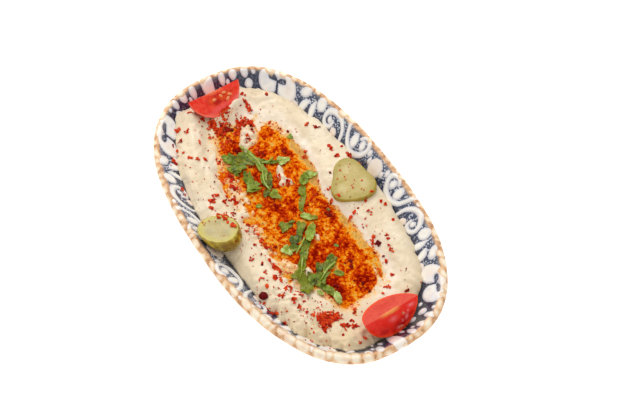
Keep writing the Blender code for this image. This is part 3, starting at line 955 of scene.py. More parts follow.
# %% The slab of oil
# Each patch of paprika is (place, half sizes, strength); a negative strength leaves clear oil.
PAPRIKA = [
    ((-57, 15), (5, 5), 0.45), ((-66, 0), (4, 8), -0.2), ((-40, 18), (5, 3), 0.25), ((-47, 5), (4, 4), 0.3), ((-57, -6), (8, 4), 0.4),
    # The dark patch at (-14, -7) is partly dense paprika and partly a painted shadow under the parsley.
    ((-14, -7), (14, 4), 0.4), ((10, 16), (10, 4), 0.16), ((21, 13), (6, 4), 0.15), ((38, 10), (7, 5), 0.14),
    ((54, 10), (7, 5), 0.2), ((52, -5.5), (9, 3.2), 0.36), ((30, -7), (8, 4), 0.2), ((-2, 2), (8, 5), 0.15),
    ((-32, 24), (20, 3.8), -1.0), ((-12, 20.5), (8, 2.8), -0.65), ((28, 21), (28, 3.0), -0.68),
    ((-48, 15), (4, 4), -0.25), ((3, 10), (6, 3), -0.3), ((16, 9), (5, 3), -0.25), ((42, 0), (7, 3), -0.4),
    ((58, 0), (5, 4), -0.3), ((-2, -18), (14, 4), -0.3), ((20, -21), (12, 4), -0.3), ((-64, -3), (6, 6), -0.2),
    ((-30, -18), (12, 3), -0.2), ((61, 12), (3, 6), 0.2), ((-35, -6), (5, 2.4), 0.3), ((52, 18), (8, 2), -0.3),
]

oil = sheet_of_corners("olive_oil_pool", 190, 110)
out, angle = bend_to_disc(oil)
reach = shore_reach(angle) * (1.1 + 0.1 * smooth_step(0.2, -0.4, np.sin(angle))) * out
x = POOL_CENTRE[0] + reach * np.cos(angle)
y = POOL_CENTRE[1] + reach * np.sin(angle)
grit = 0.09 * layered_hills(x, y, 2.2, 95, 2)
move_corners(oil, x, y, OIL_LEVEL + grit)
paprika = 0.54 + 0.08 * smooth_step(10, 40, x) + 0.17 * layered_hills(x, y, 8.0, 96)
for centre, half, strength in PAPRIKA:
    paprika += strength * mound(x, y, centre, half)
paprika -= 0.25 * smooth_step(0.9, 1.02, pool_share(x, y))
store(oil, "paprika", paprika)
select_only(oil)
thick = oil.modifiers.new("depth", "SOLIDIFY")
thick.thickness = 4.2 * MM
thick.offset = -1
bpy.ops.object.modifier_apply(modifier="depth")
tidy_skin(oil)

# %% Oil finish


def oil_finish():
    fixed = {"Roughness": 0.12, "IOR": 1.46, "Specular IOR Level": 0.0}
    oil_look = Finish("olive_oil_paprika", fixed)
    clump = oil_look.grain(3.4, 4, 0.62) - 0.5
    grit = oil_look.grain(1.7, 2) - 0.5
    dust = oil_look.grain(1.0, 2) - 0.5
    dense = oil_look.stored("paprika") + clump * 1.6 + grit * 1.0 + dust * 0.7
    stops = [
        (0.0, colour(226, 172, 76)), (0.18, colour(234, 158, 34)), (0.36, colour(232, 130, 10)),
        (0.52, colour(220, 94, 6)), (0.7, colour(196, 54, 4)), (0.86, colour(166, 32, 3)), (1.0, colour(128, 15, 2)),
    ]
    shade = oil_look.ramp(dense, stops)
    golden = oil_look.step(0.3, -0.1, dense) * (0.55 + oil_look.step(0.35, 0.65, oil_look.grain(5, 3)) * 0.45)
    oil_look.set("Base Color", oil_look.mix(golden * 0.85, shade, colour(240, 186, 102)))
    oil_look.set("Alpha", 0.6 + oil_look.step(-0.25, 0.1, dense) * 0.4)
    oil_look.set("Roughness", 0.08 + oil_look.step(0.3, 0.8, dense) * 0.3)
    oil_look.relief(oil_look.step(0.2, 1.1, dense), 0.14)
    return oil_look


wear(oil, oil_finish(), "oil", "olive_oil")

# %% [markdown]
# ## Wedges of tomato
# A wedge is a slice of an egg-shaped fruit between two cuts through its core. Its skin is a thin glossy
# shell, and each cut shows a thick wall of flesh, seed pockets full of dark jelly, and a pale core. A
# bisected ball gives the outline, but the cuts need even, dense faces to sink the pockets, so a sheet
# is rolled into a long tube instead: out along one cut, round the skin and back along the other.

# %% Roll a sheet into a wedge
WEDGE_HALF_LENGTH = 16.5
WEDGE_RADIUS = 15.6
CUT_SHARE = 0.34  # the share of the sheet's width that each cut takes


def frame_of(place, core_turn, roll):
    """Rows are the wedge's own axes as seen in the dish's frame."""
    c, s = math.cos(math.radians(core_turn)), math.sin(math.radians(core_turn))
    cr, sr = math.cos(math.radians(roll)), math.sin(math.radians(roll))
    return np.array(place, float), np.array([[c, s, 0], [-s * cr, c * cr, sr], [s * sr, -c * sr, cr]])


def wedge_radius(along):
    """The skin's distance from the core: blunt at the stalk end and pointed at the other."""
    share = np.clip(along / WEDGE_HALF_LENGTH, -1, 1)
    sharpness = 0.5 + 0.1 * smooth_step(-0.2, 0.9, share)
    return WEDGE_RADIUS * np.maximum(1 - share**2, 0) ** sharpness


def roll_wedge(name, opening, place, pockets, sag, gleams):
    """pockets: for the cut on each side, ovals as (along, out from the core), half sizes and tilt."""
    wedge = sheet_of_corners(name, 190, 100)
    flat = corners_of(wedge) * MM
    side = np.sign(flat[:, 0])
    round_share = np.abs(flat[:, 0])
    along = WEDGE_HALF_LENGTH * np.sin(flat[:, 1] * math.pi / 2)
    flat_along = along
    radius = wedge_radius(along)
    on_cut = round_share > 1 - 2 * CUT_SHARE
    out = np.where(on_cut, (1 - round_share) / (2 * CUT_SHARE), 1.0) * radius
    half_opening = math.radians(opening) / 2
    lean = half_opening * np.where(on_cut, 1.0, round_share / (1 - 2 * CUT_SHARE)) * side
    pocket = np.full(out.shape, 9.0)
    for which, centre, half, tilt in pockets:
        here = spot(along, out, centre, half, tilt) + 0.7 * hills(along, out, 2.6, 131)
        pocket = np.where(on_cut & (side == which), np.minimum(pocket, here), pocket)
    sunk = 0.35 * smooth_step(0.8, -0.8, pocket) - 0.35 * smooth_step(-0.4, -2.6, pocket)
    uneven = 0.16 * layered_hills(along, out, 4.0, 132) * smooth_step(0.0, 1.5, radius - out)
    depth = np.where(on_cut, (sunk + uneven) * smooth_step(0.0, 1.2, out), 0.0)
    bulge = 0.12 * hills(along, lean * 14, 5.0, 133) * (~on_cut)
    y = np.sin(lean) * (out + bulge) - side * np.cos(lean) * depth
    z = -np.cos(lean) * (out + bulge) - np.sin(np.abs(lean)) * depth * on_cut
    z -= sag * (1 - (along / WEDGE_HALF_LENGTH) ** 2) * np.exp(-((out / 3.5) ** 2))
    origin, axes = frame_of(*place)
    move_corners(wedge, *(origin + np.stack([along, y, z], axis=1) @ axes).T)
    store(wedge, "pocket", pocket)
    store(wedge, "core", out)
    store(wedge, "along", along)
    store(wedge, "wall", np.where(on_cut, radius - out, -1.0))
    store(wedge, "wet", smooth_step(0.02, -0.02, flat[:, 0]))
    # Painted highlights, kept on the wet cut for the finish.
    gleam = np.zeros(out.shape)
    for centre, half, tilt, strength in gleams:
        gleam = np.maximum(gleam, strength * mound(flat_along, out, centre, half, tilt) * (side < 0) * on_cut)
    store(wedge, "gleam", gleam)
    tidy_skin(wedge)
    return wedge


# %% [markdown]
# The jelly holds flat pale seeds. One seed is modelled, and each pocket gets its own few, half sunk.

# %% Seeds


def seed_shape(name, half):
    bpy.ops.object.select_all(action="DESELECT")
    bpy.ops.mesh.primitive_uv_sphere_add(segments=14, ring_count=8, radius=1.0)
    seed = bpy.context.object
    seed.name = name
    x, y, z = (corners_of(seed) * MM).T
    taper = 1 - 0.35 * smooth_step(-0.2, 1.0, x)
    move_corners(seed, x * half[0], y * half[1] * taper, z * half[2] * taper)
    return seed


def join(name, pieces):
    bpy.ops.object.select_all(action="DESELECT")
    for piece in pieces:
        piece.select_set(True)
    bpy.context.view_layer.objects.active = pieces[0]
    bpy.ops.object.join()
    pieces[0].name = name
    return pieces[0]


def set_seeds(name, place, opening, seeds):
    """seeds: which cut, (along, out from the core), turn in degrees."""
    origin, axes = frame_of(*place)
    made = []
    for number, (which, centre, turn) in enumerate(seeds):
        seed = seed_shape(f"{name}_{number}", (1.6, 1.0, 0.45))
        x, y, z = corners_of(seed).T
        angle = math.radians(turn)
        along = centre[0] + x * math.cos(angle) - y * math.sin(angle)
        out = centre[1] + x * math.sin(angle) + y * math.cos(angle)
        lean = math.radians(opening) / 2 * which
        depth = 0.3 - z
        own_y = math.sin(lean) * out - which * math.cos(lean) * depth
        own_z = -math.cos(lean) * out - math.sin(abs(lean)) * depth
        move_corners(seed, *(origin + np.stack([along, own_y, own_z], axis=1) @ axes).T)
        made.append(seed)
    seeds_piece = join(name, made)
    tidy_skin(seeds_piece, 0.0001)
    return seeds_piece


FRONT_PLACE = ((87.2, 5.0, 41.7), 92.3, 15.5)
FRONT_OPENING = 82
BACK_PLACE = ((-90.3, -0.8, 39.3), 90, -26)
BACK_OPENING = 48
FRONT_POCKETS = [(-1, (4.6, 10.4), (6.2, 2.6), -14), (-1, (-6.5, 10.4), (3.2, 2.2), 14), (1, (1, 8.6), (7, 2.6), 0)]
BACK_POCKETS = [(-1, (1.8, 5.6), (8.8, 3.4), -4), (1, (0, 7), (6, 2.6), 0)]
FRONT_SEEDS = [(-1, (3.4, 13.0), 15), (-1, (6.2, 6.0), 60)]
BACK_SEEDS = [
    (-1, (8.4, 5.8), 25), (-1, (6.4, 7.6), -30), (-1, (3.2, 4.8), 50), (-1, (-1.4, 5.2), 10), (-1, (5.6, 3.4), 0),
]

# Painted highlights on the cut, pale pink patches: (along, out), half sizes, tilt and strength.
FRONT_GLEAMS = [
    ((11.5, 3.0), (2.0, 1.3), 10, 0.75), ((7.6, 8.6), (1.0, 2.0), 20, 0.8), ((-0.4, 5.6), (2.6, 2.0), -10, 0.5),
    ((1.8, 12.6), (1.3, 0.9), 0, 0.9), ((9.0, 5.4), (0.7, 0.9), 0, 0.7), ((4.6, 9.6), (0.7, 1.2), 0, 0.5),
]
BACK_GLEAMS = [((-1, 11), (9, 2), -8, 0.3), ((11, 9), (3, 1.6), -30, 0.35)]
wedge_front = roll_wedge("tomato_front", FRONT_OPENING, FRONT_PLACE, FRONT_POCKETS, 1.6, FRONT_GLEAMS)
wedge_back = roll_wedge("tomato_back", BACK_OPENING, BACK_PLACE, BACK_POCKETS, 0.4, BACK_GLEAMS)
seeds_front = set_seeds("tomato_front_seeds", FRONT_PLACE, FRONT_OPENING, FRONT_SEEDS)
seeds_back = set_seeds("tomato_back_seeds", BACK_PLACE, BACK_OPENING, BACK_SEEDS)
for wedge, node in ((wedge_front, "tomato_wedge_front"), (wedge_back, "tomato_wedge_back")):
    low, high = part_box(node)
    places = corners_of(wedge)
    print(node, in_mm(low), in_mm(high), "modelled", places.min(axis=0).round(1), places.max(axis=0).round(1))

# %% Tomato finish


def tomato_finish(name, dry_flesh, wet_flesh, edge, jelly_dark, jelly_light, heart):
    fixed = {"Specular IOR Level": 0.11, "Subsurface Weight": 0.1, "Subsurface Scale": 0.002, "Coat Roughness": 0.06}
    tomato = Finish(name, fixed)
    tomato.shader.inputs["Subsurface Radius"].default_value = (1.0, 0.3, 0.2)
    pocket = tomato.stored("pocket")
    core = tomato.stored("core")
    wall = tomato.stored("wall")
    along = tomato.stored("along")
    wet = tomato.stored("wet")
    fibre = tomato.grain(2.2, 3)
    cut = tomato.step(-0.2, 0.1, wall)
    skin = tomato.mix(tomato.grain(8, 2), colour(200, 26, 10), colour(226, 46, 16))
    # The dry cut is the same flesh as the wet cut with a painted sheen: paler and pinker, as if lit by the soft lamp
    # above.
    dry = tomato.mix(tomato.step(0.3, 0.7, fibre), dry_flesh, colour(226, 88, 66))
    moist = tomato.mix(tomato.step(0.3, 0.7, fibre), wet_flesh, colour(242, 48, 30))
    flesh = tomato.mix(wet, dry, moist)
    flesh = tomato.mix(tomato.step(2.6, 0.6, wall) * 0.7, flesh, edge)
    jelly = tomato.mix(tomato.step(0.35, 0.65, tomato.grain(3.2, 2)), jelly_dark, jelly_light)
    inside = tomato.mix(tomato.step(1.4, -1.6, pocket + (fibre - 0.5) * 1.6) * (0.25 + wet * 0.6), flesh, jelly)
    streak = tomato.step(2.4, 0.4, core + (fibre - 0.5) * 2.4) * tomato.step(7.0, 1.0, along)
    streak = streak * tomato.step(-9.0, -2.0, along)
    inside = tomato.mix(streak * 0.75, inside, heart)
    # Painted highlights: pale pink patches on the wet cut.
    inside = tomato.mix(tomato.stored("gleam"), inside, colour(255, 140, 142))
    tomato.set("Base Color", tomato.mix(cut, skin, inside))
    tomato.set("Roughness", 0.16 + cut * (0.3 - wet * 0.26) + fibre * 0.1)
    tomato.set("Coat Weight", wet * 0.08)
    tomato.relief(fibre * 0.6 + tomato.grain(0.7, 2) * 0.4, 0.14)
    return tomato


def seed_finish(name, dark, light):
    seed = Finish(name, {"Roughness": 0.25, "Specular IOR Level": 0.4, "Coat Weight": 0.3, "Coat Roughness": 0.05})
    seed.set("Base Color", seed.mix(seed.grain(1.2, 2), dark, light))
    return seed


ripe = tomato_finish(
    "ripe_tomato", colour(218, 74, 62), colour(236, 34, 20), colour(250, 84, 34), colour(184, 8, 6),
    colour(218, 24, 14), colour(244, 168, 88),
)
# The back wedge is a paler, pinker copy of the same finish: partly painted highlight.
blush = tomato_finish(
    "ripe_tomato_pale_lit", colour(248, 76, 60), colour(255, 84, 62), colour(255, 128, 100), colour(190, 20, 4),
    colour(240, 84, 20), colour(248, 140, 90),
)
wear(wedge_front, ripe, "tomato", "tomato_wedge_front")
wear(wedge_back, blush, "tomato", "tomato_wedge_back")
wear(seeds_front, seed_finish("tomato_seed_red", colour(214, 90, 70), colour(232, 130, 96)), "tomato")
wear(seeds_back, seed_finish("tomato_seed", colour(236, 112, 56), colour(248, 168, 104)), "tomato")

# %% [markdown]
# ## Pickled cucumber
# A pickle cut across shows a pale, watery middle with three seed chambers inside a firmer olive rind.
# Both cuts here are turned shapes that are then pushed out of round: a thick slice that lies flat, and
# the rounded end of a cucumber that stands on the wall. The same sweep that turned the dish makes them.

# %% Turned shapes


def sweep_profile(name, points, steps):
    """Draws a profile of (radius, height) and turns it once round."""
    line = draw_profile([(HALF_WIDTH - radius, height) for radius, height in points])
    line.name = name
    turn_round = line.modifiers.new("wheel", "SCREW")
    turn_round.steps = steps
    turn_round.render_steps = steps
    turn_round.use_merge_vertices = True
    turn_round.merge_threshold = 0.001 * MM
    select_only(line)
    bpy.ops.object.modifier_apply(modifier="wheel")
    return line


def tilted_frame(place, normal):
    turn = Vector((0, 0, 1)).rotation_difference(Vector(normal)).to_matrix()
    return np.array(place, float), np.array(turn).T


PICKLE_SLICE_PLACE = ((0.0, 36.0, 29.1), (0.0, -0.06, 1.0))
PICKLE_END_PLACE = ((-6.4, -45.4, 38.5), (-0.20, 0.14, 0.97))
PICKLE_END_RADIUS = 11.3
PICKLE_END_DEPTH = 12.0


def pickle_outline(angle):
    """Radius of the slice: the three seed chambers leave it a rounded triangle."""
    total = 13.2 + 0.85 * np.cos(angle) + 0.32 * np.sin(angle)
    total = total + 1.2 * np.cos(2 * angle) - 0.68 * np.sin(2 * angle)
    return total - 0.92 * np.cos(3 * angle) + 1.32 * np.sin(3 * angle)


def make_pickle_slice():
    half = 2.4
    profile = [(radius, half) for radius in np.linspace(0, 0.93, 34)]
    profile += [(0.93 + 0.07 * math.sin(turn), half - 0.8 + 0.8 * math.cos(turn)) for turn in np.linspace(0.3, 1.57, 5)]
    profile += [(1.0, height) for height in (0.6, -0.4, -1.2)]
    profile += [(0.93 + 0.07 * math.cos(turn), -half + 0.8 - 0.8 * math.sin(turn)) for turn in np.linspace(0.3, 1.57, 4)]
    profile += [(0.5, -half), (0.0, -half)]
    piece = sweep_profile("pickle_flat_slice", profile, 120)
    x, y, z = corners_of(piece).T
    angle = np.arctan2(y, x)
    share = np.hypot(x, y)
    outline = pickle_outline(angle) + 0.2 * hills(np.cos(angle) * 9, np.sin(angle) * 9, 5.0, 141)
    chambers = np.cos(3 * (angle + 1.3)) * smooth_step(0.15, 0.5, share) * smooth_step(0.85, 0.55, share)
    face = z > half - 0.01
    x = outline * share * np.cos(angle)
    y = outline * share * np.sin(angle)
    z = z + np.where(face, 0.1 * layered_hills(x, y, 6.0, 142) - 0.1 * chambers, 0)
    origin, axes = tilted_frame(*PICKLE_SLICE_PLACE)
    move_corners(piece, *(origin + np.stack([x, y, z], axis=1) @ axes).T)
    store(piece, "share", share)
    store(piece, "chamber", chambers)
    store(piece, "face", face)
    store(piece, "rib", np.full(len(x), 0.5))
    tidy_skin(piece)
    return piece


def make_pickle_end():
    profile = [(radius, 0.0) for radius in np.linspace(0, PICKLE_END_RADIUS - 0.7, 30)]
    profile += [(PICKLE_END_RADIUS - 0.7 + 0.7 * math.sin(turn), 0.7 * math.cos(turn) - 0.7) for turn in (0.5, 1.0, 1.57)]
    for step in range(1, 31):
        depth = 0.058 + 0.942 * step / 30
        profile.append((PICKLE_END_RADIUS * math.sqrt(max(0.0, 1 - depth**2.8)), -depth * PICKLE_END_DEPTH))
    piece = sweep_profile("pickle_round_end", profile, 132)
    x, y, z = corners_of(piece).T
    angle = np.arctan2(y, x)
    radius = np.hypot(x, y)
    share = radius / PICKLE_END_RADIUS
    depth = -z / PICKLE_END_DEPTH
    face = z > -0.01
    ribs = np.abs(np.sin(angle * 8 + 0.8 * hills(depth * 6, angle * 3, 2.0, 151)))
    warts = layered_hills(angle * 11, z, 2.4, 152, 2)
    swell = 1 + 0.02 * np.cos(3 * angle + 0.6) + np.where(face, 0, 0.02 * (ribs - 0.5) + 0.014 * warts)
    chambers = np.cos(3 * (angle - 0.5)) * smooth_step(0.15, 0.45, share) * smooth_step(0.8, 0.5, share)
    z = z + np.where(face, 0.12 * layered_hills(x, y, 5.0, 153) - 0.12 * chambers, 0)
    x = x * swell + 2.8 * depth
    y = y * swell + 4.0 * depth
    origin, axes = tilted_frame(*PICKLE_END_PLACE)
    move_corners(piece, *(origin + np.stack([x, y, z], axis=1) @ axes).T)
    store(piece, "share", share)
    store(piece, "chamber", chambers)
    store(piece, "face", face)
    store(piece, "rib", ribs)
    tidy_skin(piece)
    return piece


pickle_slice = make_pickle_slice()
pickle_end = make_pickle_end()

# %% Pickle finishes


def pickle_finish(name, middle, chamber_shade, rim, rind_light, rind_dark):
    pickle = Finish(name, {"Roughness": 0.22, "Subsurface Weight": 0.2, "Subsurface Scale": 0.003})
    pickle.shader.inputs["Subsurface Radius"].default_value = (1.0, 0.9, 0.3)
    share = pickle.stored("share")
    face = pickle.stored("face")
    chamber = pickle.stored("chamber")
    cloud = pickle.grain(5, 3)
    flesh = pickle.mix(pickle.step(0.1, 0.8, chamber + (cloud - 0.5)), middle, chamber_shade)
    flesh = pickle.mix(pickle.step(0.5, 1.0, share + (cloud - 0.5) * 0.3), flesh, rim)
    patchy = pickle.grain(5, 3) * 0.9 + pickle.stored("rib") * 0.12
    rind = pickle.mix(pickle.step(0.35, 0.75, patchy), rind_dark, rind_light)
    pickle.set("Base Color", pickle.mix(face, rind, flesh))
    pickle.set("Roughness", 0.16 + pickle.grain(3, 2) * 0.2)
    pickle.relief(pickle.grain(1.8, 3), 0.12)
    return pickle


slice_look = pickle_finish(
    "pickle_slice_flesh", colour(188, 166, 84), colour(200, 180, 112), colour(166, 146, 34),
    colour(184, 160, 50), colour(160, 136, 34),
)
end_look = pickle_finish(
    "pickle_end_flesh", colour(186, 168, 108), colour(176, 160, 102), colour(194, 180, 70),
    colour(196, 172, 48), colour(138, 104, 14),
)
wear(pickle_slice, slice_look, "pickle", "pickle_slice")
wear(pickle_end, end_look, "pickle", "pickle_end")

# %% [markdown]
# ## What is strewn on top
# Pepper flakes and parsley lie where they fall, so their places are listed but their heights
# come from the pieces below: a ray dropped from above finds the first surface under it.

# %% Find what lies below a place


def surface_below(pieces):
    """A tree of every face of some pieces, in millimetres."""
    corners = []
    faces = []
    for piece in pieces:
        piece.data.calc_loop_triangles()
        start = len(corners)
        corners += [tuple(corner) for corner in corners_of(piece)]
        faces += [[start + corner for corner in face.vertices] for face in piece.data.loop_triangles]
    return BVHTree.FromPolygons(corners, faces)


ground = surface_below([dish, hummus, oil, pickle_slice, pickle_end])


def landing(x, y):
    """Where a thing dropped at (x, y) lands, and which way the surface faces there."""
    place, normal, _, _ = ground.ray_cast(Vector((x, y, 80)), Vector((0, 0, -1)))
    return place, normal


print("the oil lies at", round(landing(20, 5)[0].z, 1), "mm, the bank at", round(landing(-40, -38)[0].z, 1), "mm")

# %% [markdown]
# ## Pepper flakes
# Crushed red pepper is a mix of curled chips of skin, from dust to three millimetres. A ball of twenty
# faces, flattened and jogged, is enough for a chip that repeats a thousand times. Heaps are given as
# (x, y, spread along x, spread along y, how many).

# %% Chips of pepper
HEAPS = [
    (-77, 14.5, 3.4, 1.5, 22), (-68, 10, 3.4, 1.5, 40), (-72, 5, 2.6, 2, 26), (-79.5, -1, 2.2, 2.4, 28),
    (-77, -9, 3.6, 1.8, 46), (-66, 1, 2.4, 2.4, 14), (-63, -11, 3, 1.4, 16), (-71, -8, 4, 2.4, 40),
    (-75, -3, 3, 3, 22), (-70, 6, 3.4, 2.6, 26), (-64, -7, 3, 2.4, 20), (-80, 3, 1.4, 2, 8), (-58, 4, 3, 2, 3),
    (-85, 16, 1.2, 1.6, 5), (-83, -12.5, 2, 1.4, 8), (-89, -17, 1.6, 1.6, 6), (-77, -13, 1, 0.8, 3),
    (-70, -15, 1, 0.8, 4), (-62, 20.5, 1.4, 1, 6), (-78, 28, 0.9, 1.2, 4), (-70, 27, 0.6, 0.6, 1),
    (-32, -33, 1, 1.6, 8), (-29, -36.5, 1.8, 1.6, 20), (-25, -31, 2.2, 0.8, 9), (-26, -39.5, 1, 1, 7),
    (-56, -26, 1.2, 1.2, 6), (-57, -30, 1.2, 1, 6), (-69, -23, 1.4, 0.7, 3), (-78, -25.5, 1.8, 1.2, 6),
    (-83, -29, 1.2, 1.6, 9), (-75, -32, 1, 1.4, 6), (-71, -36, 1, 0.8, 3), (-67, -35, 0.6, 0.6, 1),
    (-75, -37, 1.2, 0.6, 3), (-65, -41.5, 2.6, 0.7, 8), (-45.5, -47, 0.8, 0.8, 3), (-42, -47.8, 0.8, 0.5, 3),
    (-62, -33.5, 1.2, 1, 4), (-45, -25.5, 1, 0.6, 2), (-40, -24, 1.6, 0.8, 5), (-53, -19.5, 2, 1, 7),
    (-42, -18.5, 4, 1.4, 18), (-33, -20.5, 4, 1.8, 18), (-25, -25, 4, 1.6, 16), (-28, -28, 1.4, 0.6, 5),
    (-17, -31, 2, 0.7, 6), (-8, -27, 4, 1.4, 9), (1, -25.5, 4, 1.6, 14), (9, -25.5, 2, 1.6, 10), (-3, -30, 1, 0.8, 4),
    (7, -31, 0.8, 0.6, 2), (15, -37, 1.1, 1.2, 7), (21, -34, 0.7, 0.7, 2), (27, -35.5, 1.4, 1, 5), (29, -41, 0.8, 2, 5),
    (35, -39.5, 1.4, 1.6, 7), (32, -32.5, 2, 1, 9), (24.5, -28.5, 4.6, 1.3, 42), (33, -30.5, 2, 1, 8),
    (42, -30, 2.2, 1.4, 14), (48.5, -31.5, 1.2, 1.4, 7), (43.5, -35.5, 0.9, 2, 9), (46, -45, 3, 1, 8),
    (50, -42.5, 1.8, 0.8, 5), (57, -42, 1.2, 0.8, 4), (55, -31.5, 1, 1.2, 6), (53, -27.5, 0.8, 0.8, 4),
    (60, -30, 0.8, 0.6, 2), (48, -27, 1.6, 1, 6), (75, -36.5, 1, 0.6, 3), (68.5, -18, 2.4, 3, 56),
    (67.5, -25, 3.2, 2.6, 80), (72, -27, 2.2, 1.6, 26), (64, -25, 1.6, 1.4, 10), (76, -17, 2.2, 2.2, 22), (79.5, -12, 1.8, 1.6, 18),
    (68, -22, 4, 5.5, 60), (75, -11.5, 0.9, 1.2, 5), (71, -7, 0.9, 0.9, 4), (69, -5, 0.6, 0.6, 2), (88.5, -12.5, 0.7, 1, 3),
    (90, -16, 0.6, 0.6, 2), (80.5, -21, 1, 0.6, 2), (67, 17, 1, 2, 10), (69, 12, 0.6, 0.5, 1), (36.5, 28, 0.7, 1.8, 6),
    (40.5, 33.5, 1, 0.7, 5), (43, 32.5, 1.2, 0.6, 4), (46, 30.8, 0.6, 0.6, 2), (49.5, 30.5, 1, 1.2, 7),
    (53, 25, 1, 0.7, 3), (44, 23, 1, 0.6, 4), (61.5, 23, 0.8, 0.6, 3), (39, 25.5, 1.2, 0.8, 5), (22.5, 44.3, 1.1, 0.9, 7),
    (19.5, 42.5, 0.5, 0.7, 2), (34, 42, 0.8, 0.6, 2), (21.5, 33.5, 0.5, 1, 3), (24.5, 34, 0.6, 0.5, 2),
    (18, 27.3, 1, 0.5, 3), (18.5, 24, 1, 0.7, 5), (14.6, 36, 0.5, 1, 4), (12.5, 41.5, 1.0, 0.8, 4), (5.5, 24.8, 0.9, 0.6, 4),
    (4, 20.5, 1.2, 1, 7), (-3.5, 23.6, 0.7, 0.9, 5), (-16, 45.3, 2.4, 0.9, 26), (-9.5, 46.8, 1.3, 0.6, 8),
    (-24, 45, 0.8, 0.5, 3), (-27, 39, 2, 0.8, 12), (-19.5, 39, 1.4, 1, 8), (-47, 36, 0.9, 1.4, 10),
    (-34, 27, 0.7, 1.3, 6), (-31, 24, 2, 1, 7), (-12.5, 22.5, 1.2, 0.5, 3), (-15, -36, 3, 1.3, 26), (-9, -34, 1.6, 0.6, 7), (-11, -38.6, 2.8, 0.7, 22),
    (-13.8, -41.5, 1, 0.8, 6), (-4.5, -37.2, 1.6, 0.5, 7),
    (-20, -38.5, 1, 1, 5), (-4, -38.8, 0.6, 0.9, 3), (-26, 4.5, 3, 3, 12), (-20, 7, 1.6, 2, 12), (-50, 3.5, 5, 1.6, 8),
    (19, -1.5, 3, 1.2, 6), (-58, 3, 2, 1.4, 3), (57, 18.5, 4, 1, 6), (-61, 8, 3, 1.4, 3),
]
DARK_HEAPS = [
    (-71, -3, 1.6, 3.6, 34), (-63, 8.6, 2, 0.8, 4), (-43, 39.5, 1.2, 0.8, 7), (-10.8, 29, 0.8, 0.6, 4), (75, 24, 0.7, 0.9, 4), (41.3, 27, 1, 0.9, 8),
    # (-12, -6) darkens the same patch under the parsley: partly dark pepper, partly painted shadow.
    (21, -34, 0.6, 0.6, 2), (-15, 45.5, 2, 0.6, 5), (-55, -7, 3, 2, 8), (-12, -6, 7, 2, 14), (52, -6, 4, 2, 12),
    (43, 8, 3, 2, 10), (60, 7, 3, 3, 8), (8, 16, 5, 2, 6), (-40, 17, 2, 1.4, 8), (-47, 5, 2, 2, 6), (70, -24, 2, 2, 6),
]


def chip_shapes(count, seed):
    """Corners of some flattened, jogged little balls, and their shared faces."""
    bpy.ops.object.select_all(action="DESELECT")
    bpy.ops.mesh.primitive_ico_sphere_add(subdivisions=1, radius=1.0)
    ball = bpy.context.object
    start = corners_of(ball) * MM
    faces = np.array([face.vertices[:] for face in ball.data.polygons])
    bpy.data.objects.remove(ball, do_unlink=True)
    chance = np.random.default_rng(seed)
    shapes = []
    for _ in range(count):
        shape = start * chance.uniform(0.65, 1.3, (len(start), 1)) * (1.0, chance.uniform(0.5, 0.9), 0.3)
        shape[:, 2] += 0.28 * shape[:, 0] ** 2 * chance.uniform(-1, 1)
        shapes.append(shape)
    return shapes, faces


def strew(name, heaps, half_size, seed, lift=0.12):
    """One mesh of many chips that lie in heaps on whatever is below them."""
    shapes, faces = chip_shapes(9, seed)
    chance = np.random.default_rng(seed + 1)
    corners = []
    all_faces = []
    for centre_x, centre_y, spread_x, spread_y, count in heaps:
        for _ in range(count):
            x = centre_x + chance.normal(0, spread_x * 0.55)
            y = centre_y + chance.normal(0, spread_y * 0.55)
            place, normal = landing(x, y)
            if place is None or place.z < 15 or inset_at(np.array([x]), np.array([y]))[0] < 8:
                continue
            size = half_size * min(math.exp(chance.normal(0, 0.32)), 1.5)
            facing = (normal + Vector(chance.normal(0, 0.35, 3))).normalized()
            turn = facing.to_track_quat("Z", "Y").to_matrix()
            spin = chance.uniform(0, math.tau)
            shape = shapes[chance.integers(len(shapes))] * size
            c, s = math.cos(spin), math.sin(spin)
            flat_x = shape[:, 0] * c - shape[:, 1] * s
            flat_y = shape[:, 0] * s + shape[:, 1] * c
            turned = np.stack([flat_x, flat_y, shape[:, 2]], axis=1) @ np.array(turn).T
            all_faces.append(faces + len(corners) * len(shape))
            corners.append(turned + np.array(place) + np.array(normal) * (lift + chance.uniform(0, 0.35)))
    mesh = bpy.data.meshes.new(name)
    mesh.from_pydata(np.vstack(corners) * MM, [], np.vstack(all_faces))
    piece = bpy.data.objects.new(name, mesh)
    bpy.context.scene.collection.objects.link(piece)
    chips = np.repeat(chance.uniform(0, 1, len(corners)), len(shapes[0]))
    store(piece, "shade", chips)
    print(name, "has", len(corners), "chips")
    return piece


def flake_finish(name, dark, middle, bright):
    flake = Finish(name, {"Roughness": 0.38, "Specular IOR Level": 0.06})
    shade = flake.stored("shade")
    flake.set("Base Color", flake.ramp(shade, [(0.0, dark), (0.35, middle), (1.0, bright)]))
    flake.set("Roughness", 0.3 + flake.grain(0.6, 1) * 0.3)
    return flake


LOOSE = [
    (0, 0, 78, 34, 110), (0, -34, 74, 12, 110), (60, -24, 22, 16, 80), (-70, -2, 14, 16, 80), (30, 30, 40, 10, 30),
    (-9, 36, 9, 8, 10), (5, 37, 8, 9, 12), (-14, -46, 5, 6, 3),
]
flakes = strew("pepper_flakes", HEAPS, 1.0, 201)
fine_flakes = strew("pepper_flakes_fine", LOOSE, 0.52, 205)
dark_flakes = strew("pepper_flakes_dark", DARK_HEAPS + [(0, 0, 60, 26, 24)], 0.9, 203)
red_pepper = flake_finish("red_pepper", colour(140, 16, 6), colour(204, 42, 14), colour(230, 88, 30))
wear(flakes, red_pepper, "pepper_flakes")
wear(fine_flakes, red_pepper, "pepper_flakes")
wear(
    dark_flakes, flake_finish("dark_pepper", colour(92, 8, 8), colour(130, 14, 8), colour(164, 30, 10)), "pepper_flakes"
)

# %% [markdown]
# The paprika in the oil is finer: a grit of orange and red that stands a little out of the pool.

